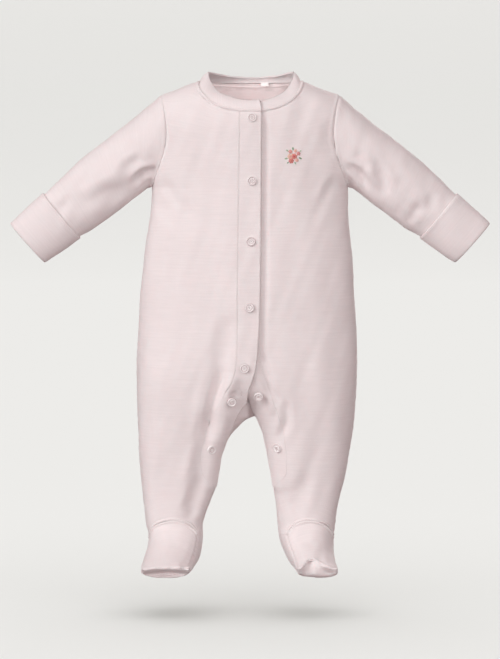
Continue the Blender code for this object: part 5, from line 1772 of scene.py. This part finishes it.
NECK_LIGHT = 0.026
NECK_LIGHT_PLACE = (0.0, -0.030, -0.045)


def hang_lamp(data, place, way, lit):
    """Hang a light at a place, shining from the given way on the things of one collection."""
    lamp = bpy.data.objects.new(data.name, data)
    lamp.location = place
    lamp.rotation_euler = way.to_track_quat("Z", "Y").to_euler()
    lamp.light_linking.receiver_collection = lit
    bpy.context.scene.collection.objects.link(lamp)
    return lamp


class SLEEPSUIT_OT_neck(bpy.types.Operator):
    """Make the neckband and the blank tab inside it"""
    bl_idname = "sleepsuit.neck"
    bl_label = "Neckband and tab"

    def execute(self, context):
        grid = neckband_grid()
        part = (grid, edge_distance(grid, ()), False, free_edges(grid.shape, ("top", "first", "last")))
        piece = cloth_piece("neckband_binding", [part], BAND, "ribbing", ["neckband"], turned=True,
                            crease=0.0, pucker=0.15, ridge=0.1)
        tab = self.tab()
        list(flat_cut([grid]))
        self.light([tab, bpy.data.objects["back_jersey"]])
        return {"FINISHED"}

    def light(self, pieces):
        """A small soft light inside the neck, on the back and the tab alone."""
        lit = bpy.data.collections.new("neck_lit")
        for piece in pieces:
            lit.objects.link(piece)
        data = bpy.data.lights.new("neck_light", "AREA")
        data.size, data.energy = 0.08, NECK_LIGHT
        data.color = (1.0, 0.86, 0.85)
        lamp = hang_lamp(data, NECK_LIGHT_PLACE, Vector((0.0, -1.0, 0.0)), lit)
        lamp.visible_camera = False

    def tab(self):
        """A folded loop of tape: a flat U hung behind the back neck."""
        drop = np.array([0.0, 0.12, 0.4, 0.7, 0.9, 0.97, 1.0, 0.97, 0.9, 0.7, 0.4, 0.12, 0.0])
        layer = np.array([0.0, 0.0, 0.05, 0.1, 0.1, 0.25, 0.5, 0.75, 0.9, 0.9, 0.95, 1.0, 1.0])
        x = np.linspace(*TAB_X, 9)
        x, drop = np.meshgrid(x, drop)
        z = TAB_Z[1] + (TAB_Z[0] - TAB_Z[1]) * drop
        y = chest_y(x, np.full(x.shape, TAB_Z[1]), 1) - TAB_INSET - 0.1 - 0.75 * layer[:, None]
        y = y - 0.25 * np.sin(2 * (x - TAB_X[0])) * 0.4 * drop
        grid = np.stack((x, y, z), axis=-1)
        none = np.zeros(grid.shape[:2])
        points, faces = join_grids([(grid, none, False, none)])[:2]
        solid, faces = walled(points, faces, 0.25, FREE)[:2]
        piece = build_mesh("neck_tab_tape", solid, faces)
        dress(piece, "tab", ["neck_label"])
        return piece


# A ring snap's profile from its middle out and down its side, and where its dish and its groove lie.
SNAP = table(
    "radius  height",
    (0.0,    1.25),
    (0.45,   1.20),
    (0.85,   0.90),
    (1.1,    0.62),
    (1.4,    0.62),
    (1.6,    1.05),
    (1.8,    1.36),
    (2.1,    1.46),
    (2.4,    1.36),
    (2.6,    1.05),
    (2.8,    0.58),
    (3.1,    0.52),
    (3.4,    0.60),
    (3.6,    1.20),
    (3.8,    1.62),
    (4.15,   1.80),
    (4.5,    1.66),
    (4.75,   1.30),
    (4.9,    0.8),
    (4.9,    -0.8),
    (0.0,    -0.8),
)
SNAP_SIDES = 40
# The dish and the groove take the darker finish: the cloth's own pink, darkened as painted shade in the
# recesses.
SNAP_DISH = (0.9, 1.5)
SNAP_GROOVE = (2.65, 3.5)
SNAP_TOP = -0.5


def snap_place(name):
    """A snap's middle at the cloth and its way out, from the solid: out is its thinnest direction."""
    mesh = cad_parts[name].data
    place = np.empty(len(mesh.vertices) * 3, dtype=np.float32)
    mesh.vertices.foreach_get("co", place)
    place = place.reshape(-1, 3).astype(float) * 1000
    place = np.unique(place.round(3), axis=0)
    middle = place.mean(axis=0)
    _, _, axes = np.linalg.svd(place - middle)
    up = axes[2] * -np.sign(axes[2][1])
    base = middle + up * ((place - middle) @ up).min()
    return base + (((place - base) - ((place - base) @ up)[:, None] * up).mean(axis=0)), up


class SLEEPSUIT_OT_snaps(bpy.types.Operator):
    """Make the ring snaps"""
    bl_idname = "sleepsuit.snaps"
    bl_label = "Ring snaps"

    def execute(self, context):
        nodes = [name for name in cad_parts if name.startswith("snap_")]
        angle = np.linspace(0.0, 2 * math.pi, SNAP_SIDES + 1)[:-1]
        ring = np.stack((np.cos(angle), np.sin(angle)), axis=-1)
        stacks = []
        for name in nodes:
            centre, up = snap_place(name)
            first = np.cross(up, (0.0, 0.0, 1.0))
            first /= np.linalg.norm(first)
            second = np.cross(up, first)
            flat = ring[:, :1] * first + ring[:, 1:] * second
            out, rise = SNAP["radius"][:, None, None], SNAP["height"][:, None, None]
            stacks.append(centre + out * flat + rise * up)
        rows, columns = len(SNAP["radius"]), len(angle)
        one = grid_faces(rows, columns, 0, True)
        faces = np.concatenate([one + k * rows * columns for k in range(len(nodes))])
        points = np.concatenate([stack.reshape(-1, 3) for stack in stacks])
        _, first, weld = np.unique(points.round(4), axis=0, return_index=True, return_inverse=True)
        piece = build_mesh("ring_snaps", points[first], weld.ravel()[faces])
        dress(piece, "snap", nodes)
        # Second slot: the darker finish of painted shade on the dish and groove faces.
        piece.data.materials.append(material("snap_well_painted_shade"))
        radius = (SNAP["radius"][:-1] + SNAP["radius"][1:]) / 2
        dish = (radius > SNAP_DISH[0]) & (radius < SNAP_DISH[1])
        groove = (radius > SNAP_GROOVE[0]) & (radius < SNAP_GROOVE[1]) & (SNAP["height"][1:] > SNAP_TOP)
        painted_shade_faces = dish | groove
        tone = np.tile(np.repeat(painted_shade_faces, columns), len(nodes)).astype(np.int32)
        piece.data.polygons.foreach_set("material_index", tone)
        return {"FINISHED"}


class SLEEPSUIT_OT_sewing(bpy.types.Operator):
    """Make the stitching of the closing, neckline and feet"""
    bl_idname = "sleepsuit.sewing"
    bl_label = "Stitching"

    def execute(self, context):
        for name, side in SIDES.items():
            self.fronts(name, side)
            self.back(name, side)
            self.foot(name, side)
        return {"FINISHED"}

    def fronts(self, name, side):
        """Lines beside the band's seam, under the neckband and over the foot, and along the band's edge."""
        grid = front_grid(side)
        edge = edge_distance(grid, FRONT_SEAMS)
        necks = steps(FRONT_NECK_CELLS, SHOULDER_CELLS) <= FRONT_NECK_CELLS
        trunk = grid[:, 0, 2] > -SPAN_END
        lines = [grid_line(grid, edge, ("first", 1.4), side, trunk)]
        lines.append(grid_line(grid, edge, ("bottom", 1.6), side))
        lines.append(grid_line(grid, edge, ("top", 1.2), side, necks))
        band = band_grid(side)
        away = edge_distance(band, ())
        for where in (("first", 1.8), ("top", 1.2), ("top", 3.3)):
            lines.append(grid_line(band, away, where, side))
        if side < 0:
            x = np.linspace(-12.5, 1.0, 12)
            lines.append(on_front(x, np.full(len(x), -47.0), DOUBLED + LAYER_GAP))
        sewn(f"stitches_front_{name}", lines)

    def back(self, name, side):
        """Lines under the neckband, on the outer face and the inner one."""
        grid = back_grids(side)[0]
        edge = edge_distance(grid, BACK_SEAMS)
        necks = (steps(BACK_NECK_CELLS, SHOULDER_CELLS) <= BACK_NECK_CELLS)[::-1]
        lines = [grid_line(grid, edge, ("top", 1.2), side, necks)]
        lines += [grid_line(grid, edge, ("top", away), side, necks, inside=CLOTH) for away in (1.0, 3.2)]
        sewn(f"stitches_back_{name}", lines)

    def foot(self, name, side):
        """Lines beside the seams of the foot's top."""
        grid = foot_grids(side)[0]
        edge = edge_distance(grid, FOOT_SEAMS)
        lines = [grid_line(grid, edge, (where, 1.5), side, shape=toe_shape, dip=0.12, ridge=0.4)
                 for where in ("top", "bottom")]
        sewn(f"stitches_foot_{name}", lines)


def on_front(x, z, rise=0.0):
    """Points and outward directions of the finished front at (x, z), raised over the skin."""
    points, normals = front_place(-z, x), front_normal(-z, x)
    height = relief(points, normals, np.full(x.shape, 1e3)) + rise
    return points + normals * height[..., None], normals


# The posy on the wearer's left: its middle, then each flower from there with its reach, petals, turn, and
# the threads of its outer petals, inner petals and heart, and each leaf with its turn, length and width.
POSY_MIDDLE = (45.6, -87.0)
POSY_THREADS = ("petal_rose", "petal_coral", "petal_blush", "petal_peach", "heart_red", "leaf", "leaf_pale")
FLOWERS = table(
    "x     z     reach  petals  turn  outer  inner  heart",
    (1.2,  -0.6, 3.6,   7,      0.3,  1,     0,     4),
    (-3.0, -0.8, 3.0,   6,      0.9,  3,     2,     1),
    (-1.8, -5.4, 3.0,   6,      0.1,  0,     1,     4),
    (-2.6, 4.4,  2.3,   5,      0.5,  1,     2,     0),
    (2.7,  5.2,  2.1,   5,      1.1,  2,     3,     1),
    (5.9,  2.4,  2.2,   5,      0.2,  0,     2,     4),
    (4.2,  -4.6, 2.2,   5,      0.7,  2,     3,     0),
)
LEAVES = table(
    "x     z     turn   length  width  thread",
    (0.2,  5.6,  1.66,  3.6,    1.7,   5),
    (-4.6, 4.6,  2.55,  3.0,    1.4,   6),
    (-5.2, -2.4, 3.35,  3.6,    1.8,   6),
    (6.0,  -1.4, -0.55, 3.8,    1.7,   5),
    (1.6,  -6.0, -1.15, 3.2,    1.5,   6),
    (-4.4, -6.4, -2.45, 2.4,    1.2,   5),
    (7.0,  4.2,  0.75,  2.4,    1.2,   6),
)


def fan(x, z, reach, count, turn, first, last, threads, spread):
    """Starts and ends of petals' threads: each petal is a fan about its own spoke, shorter at its sides."""
    across = np.linspace(-1.0, 1.0, threads)
    spoke = turn + np.arange(count)[:, None] * 2 * math.pi / count
    near = spoke + across * spread * 0.5
    far = spoke + across * spread
    long = reach * (last - 0.16 * across ** 2) + 0 * spoke
    start = np.stack((x + reach * first * np.cos(near), z + reach * first * np.sin(near)), axis=-1)
    end = np.stack((x + long * np.cos(far), z + long * np.sin(far)), axis=-1)
    return start.reshape(-1, 2), end.reshape(-1, 2)


def leaf_threads(x, z, turn, length, width):
    """Starts and ends of a leaf's threads: from its midrib out to both edges, slanting to its tip."""
    t = np.linspace(0.05, 0.85, 8)
    ahead = np.array((math.cos(turn), math.sin(turn)))
    aside = np.array((-ahead[1], ahead[0]))
    rib = np.array((x, z)) + t[:, None] * length * ahead
    tip = np.array((x, z)) + np.minimum(t + 0.2, 1.0)[:, None] * length * ahead
    half = width / 2 * np.sin(math.pi * t ** 0.8)[:, None] * aside
    return np.concatenate((rib, rib)), np.concatenate((tip + half, tip - half))


class SLEEPSUIT_OT_posy(bpy.types.Operator):
    """Make the small embroidered posy"""
    bl_idname = "sleepsuit.posy"
    bl_label = "Posy"

    def execute(self, context):
        rows = []
        for x, z, reach, petals, turn, outer, inner, heart in zip(*FLOWERS.values()):
            count = int(petals)
            rows.append((*fan(x, z, reach, count, turn, 0.2, 1.0, 5, 2.3 / count), outer, 0.16))
            rows.append((*fan(x, z, reach, count - 1, turn + 0.5, 0.08, 0.64, 4, 2.2 / count), inner, 0.46))
            rows.append((*fan(x, z, reach, 3, turn + 1.0, -0.26, 0.3, 2, 0.5), heart, 0.72))
        for x, z, turn, length, width, thread in zip(*LEAVES.values()):
            rows.append((*leaf_threads(x, z, turn, length, width), thread, 0.1))
        start, end = (np.concatenate([row[k] for row in rows]) + np.array(POSY_MIDDLE) for k in (0, 1))
        tone = np.concatenate([np.full(len(row[0]), int(row[2])) for row in rows])
        height = np.concatenate([np.full(len(row[0]), row[3]) for row in rows])
        first, normal = on_front(start[:, 0], start[:, 1], height)
        last, _ = on_front(end[:, 0], end[:, 1], height)
        points, faces = stitch_mesh(first, last, normal, context.scene.sleepsuit_sewing.floss / 2, 0.9)
        piece = build_mesh("posy_embroidery", points, faces)
        dress(piece, POSY_THREADS[0])
        for finish in POSY_THREADS[1:]:
            piece.data.materials.append(material(finish))
        tone = np.repeat(tone, len(faces) // len(tone)).astype(np.int32)
        piece.data.polygons.foreach_set("material_index", tone)
        return {"FINISHED"}


# Lights: name, the way each shines from, its spread in degrees and its strength.
LAMPS = (
    ("key", (-0.76, -0.56, 0.36), 40.0, 1.52),
    ("sky", (0.0, -0.50, 0.86), 150.0, 0.75),
    ("fill", (0.22, -0.97, 0.05), 90.0, 1.0),
    ("rear", (0.25, 0.93, 0.28), 20.0, 1.5),
    ("floor", (0.0, 0.0, 1.0), 110.0, 2.8),
)
WORLD = 0.19
WORLD_TINT = (1.0, 0.66, 0.66)
PAPER = 0.72
PAPER_TONE = (0.807, 0.799, 0.776)
FLOOR_SHARE = 0.94
WALL_SHARE = 0.105

# The paper, in metres: its floor runs back, turns up over a quarter circle and goes on as the wall.
PAPER_NEAR = -8.0
PAPER_BACK = 6.4
PAPER_TURN = 1.6
PAPER_TOP = 6.0
PAPER_HALF = 7.0

# Lamps stand this many metres off. The camera looks at AIM and its frame is FRAME metres high there.
LAMP_REACH = 3.0
AIM = (0.0, 0.0, -0.275)
FRAME = 659 * 0.00108
SENSOR = 36.0


class SLEEPSUIT_OT_stage(bpy.types.Operator):
    """Set up the floor, backdrop, lights and camera"""
    bl_idname = "sleepsuit.stage"
    bl_label = "Stage"

    def execute(self, context):
        stage = context.scene.sleepsuit_stage
        turn = np.linspace(-math.pi / 2, 0.0, 17)
        back, up = PAPER_BACK + PAPER_TURN * np.cos(turn), PAPER_TURN + PAPER_TURN * np.sin(turn)
        curve = np.stack((back, up), axis=-1)
        floor = np.array([[PAPER_NEAR, 0.0], [0.0, 0.0]])
        wall = np.array([[PAPER_BACK + PAPER_TURN, PAPER_TOP]])
        line = np.concatenate((floor, curve, wall))
        x = np.linspace(-PAPER_HALF, PAPER_HALF, 5)
        grid = np.empty((len(line), len(x), 3))
        grid[..., 0] = x
        grid[..., 1] = line[:, :1]
        grid[..., 2] = line[:, 1:] + stage.floor
        faces = grid_faces(*grid.shape[:2])
        sweep = build_mesh("studio_sweep", grid.reshape(-1, 3) * 1000, faces[:, ::-1])
        along = np.gradient(line, axis=0)
        facing = np.stack((np.zeros(len(line)), -along[:, 1], along[:, 0]), axis=-1)
        facing = unit(facing)
        lit = math.pi * WORLD * np.ones((len(line), 1)) * np.array(WORLD_TINT)
        for name, place, spread, strength in LAMPS:
            way = Vector(place).normalized()
            if name == "floor":
                reach = np.clip(facing @ np.array(way), 0.0, None) * FLOOR_SHARE
                reach = reach + WALL_SHARE * np.abs(facing[:, 1])
                lit += strength * reach[:, None]
            self.lamp(name, way, spread, strength * (stage.key if name == "key" else 1.0), sweep)
        glow = np.ones((len(line), 4))
        glow[:, :3] = np.clip(np.array(PAPER_TONE) - PAPER * lit / math.pi, 0.0, None)
        layer = sweep.data.attributes.new("glow", "FLOAT_COLOR", "POINT")
        layer.data.foreach_set("color", np.repeat(glow, len(x), axis=0).astype(np.float32).ravel())
        sweep.data.materials.append(self.paper())
        sweep.visible_diffuse = sweep.visible_glossy = sweep.visible_shadow = False
        world = context.scene.world or bpy.data.worlds.new("studio")
        context.scene.world = world
        world.use_nodes = True
        world.node_tree.nodes["Background"].inputs[0].default_value = (*WORLD_TINT, 1.0)
        world.node_tree.nodes["Background"].inputs[1].default_value = WORLD
        self.camera(context.scene, stage)
        return {"FINISHED"}

    def camera(self, scene, stage):
        """A camera in front, a little above level, whose frame just holds the garment and its shadow."""
        back = Vector((0.0, -math.cos(stage.rise), math.sin(stage.rise)))
        lens = bpy.data.cameras.new("studio_camera")
        lens.sensor_width = SENSOR
        lens.lens = SENSOR * stage.distance / FRAME
        lens.clip_end = 100.0
        camera = bpy.data.objects.new("studio_camera", lens)
        camera.location = Vector(AIM) + back * stage.distance
        camera.rotation_euler = (-back).to_track_quat("-Z", "Y").to_euler()
        scene.collection.objects.link(camera)
        scene.camera = camera
        scene.view_settings.view_transform = "Standard"

    def lamp(self, name, way, spread, strength, sweep):
        """A broad far light that shines from the given way, on the paper alone or on all but the paper."""
        lit = bpy.data.collections.new(f"{name}_lit")
        lit.objects.link(sweep)
        lit.collection_objects[0].light_linking.link_state = "INCLUDE" if name == "floor" else "EXCLUDE"
        data = bpy.data.lights.new(f"{name}_light", "SUN")
        data.angle = math.radians(spread)
        data.energy = strength
        data.color = (1.0, 1.0, 1.0) if name == "floor" else (0.985, 1.0, 0.995)
        hang_lamp(data, way * LAMP_REACH, way, lit)

    def paper(self):
        """Pale seamless paper that glows where the lights leave it dim, so that it stays even."""
        made, tree, shader = new_finish(
            "studio_paper", Base_Color=(PAPER, PAPER, PAPER, 1.0), Roughness=1.0, Specular_IOR_Level=0.0,
            Emission_Strength=1.0)
        glow = tree.nodes.new("ShaderNodeAttribute")
        glow.attribute_name = "glow"
        tree.links.new(glow.outputs["Color"], shader.inputs["Emission Color"])
        return made


class SLEEPSUIT_PT_panel(bpy.types.Panel):
    """Sizes, colours and pieces of the sleepsuit"""
    bl_idname = "SLEEPSUIT_PT_panel"
    bl_label = "Sleepsuit"
    bl_space_type = "VIEW_3D"
    bl_region_type = "UI"
    bl_category = "Sleepsuit"

    def draw(self, context):
        for name, group in GROUPS.items():
            box = self.layout.box()
            for prop in group.__annotations__:
                box.prop(getattr(context.scene, name), prop)
        for operator in OPERATORS:
            self.layout.operator(operator.bl_idname)


GROUPS = {
    "sleepsuit_cloth": SleepsuitCloth,
    "sleepsuit_sewing": SleepsuitSewing,
    "sleepsuit_snaps": SleepsuitSnaps,
    "sleepsuit_stage": SleepsuitStage,
}
OPERATORS = (
    SLEEPSUIT_OT_stage,
    SLEEPSUIT_OT_fronts,
    SLEEPSUIT_OT_back,
    SLEEPSUIT_OT_closing,
    SLEEPSUIT_OT_feet,
    SLEEPSUIT_OT_sleeves,
    SLEEPSUIT_OT_neck,
    SLEEPSUIT_OT_snaps,
    SLEEPSUIT_OT_sewing,
    SLEEPSUIT_OT_posy,
)


def register():
    """Register the settings, operators and panel."""
    for group in (*GROUPS.values(), *OPERATORS, SLEEPSUIT_PT_panel):
        bpy.utils.register_class(group)
    for name, group in GROUPS.items():
        setattr(bpy.types.Scene, name, bpy.props.PointerProperty(type=group))


def unregister():
    """Take the settings, operators and panel away."""
    for name in GROUPS:
        delattr(bpy.types.Scene, name)
    for group in (SLEEPSUIT_PT_panel, *OPERATORS, *GROUPS.values()):
        bpy.utils.unregister_class(group)


def main():
    """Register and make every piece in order."""
    register()
    for operator in OPERATORS:
        group, name = operator.bl_idname.split(".")
        getattr(getattr(bpy.ops, group), name)()


if __name__ == "__main__":
    main()
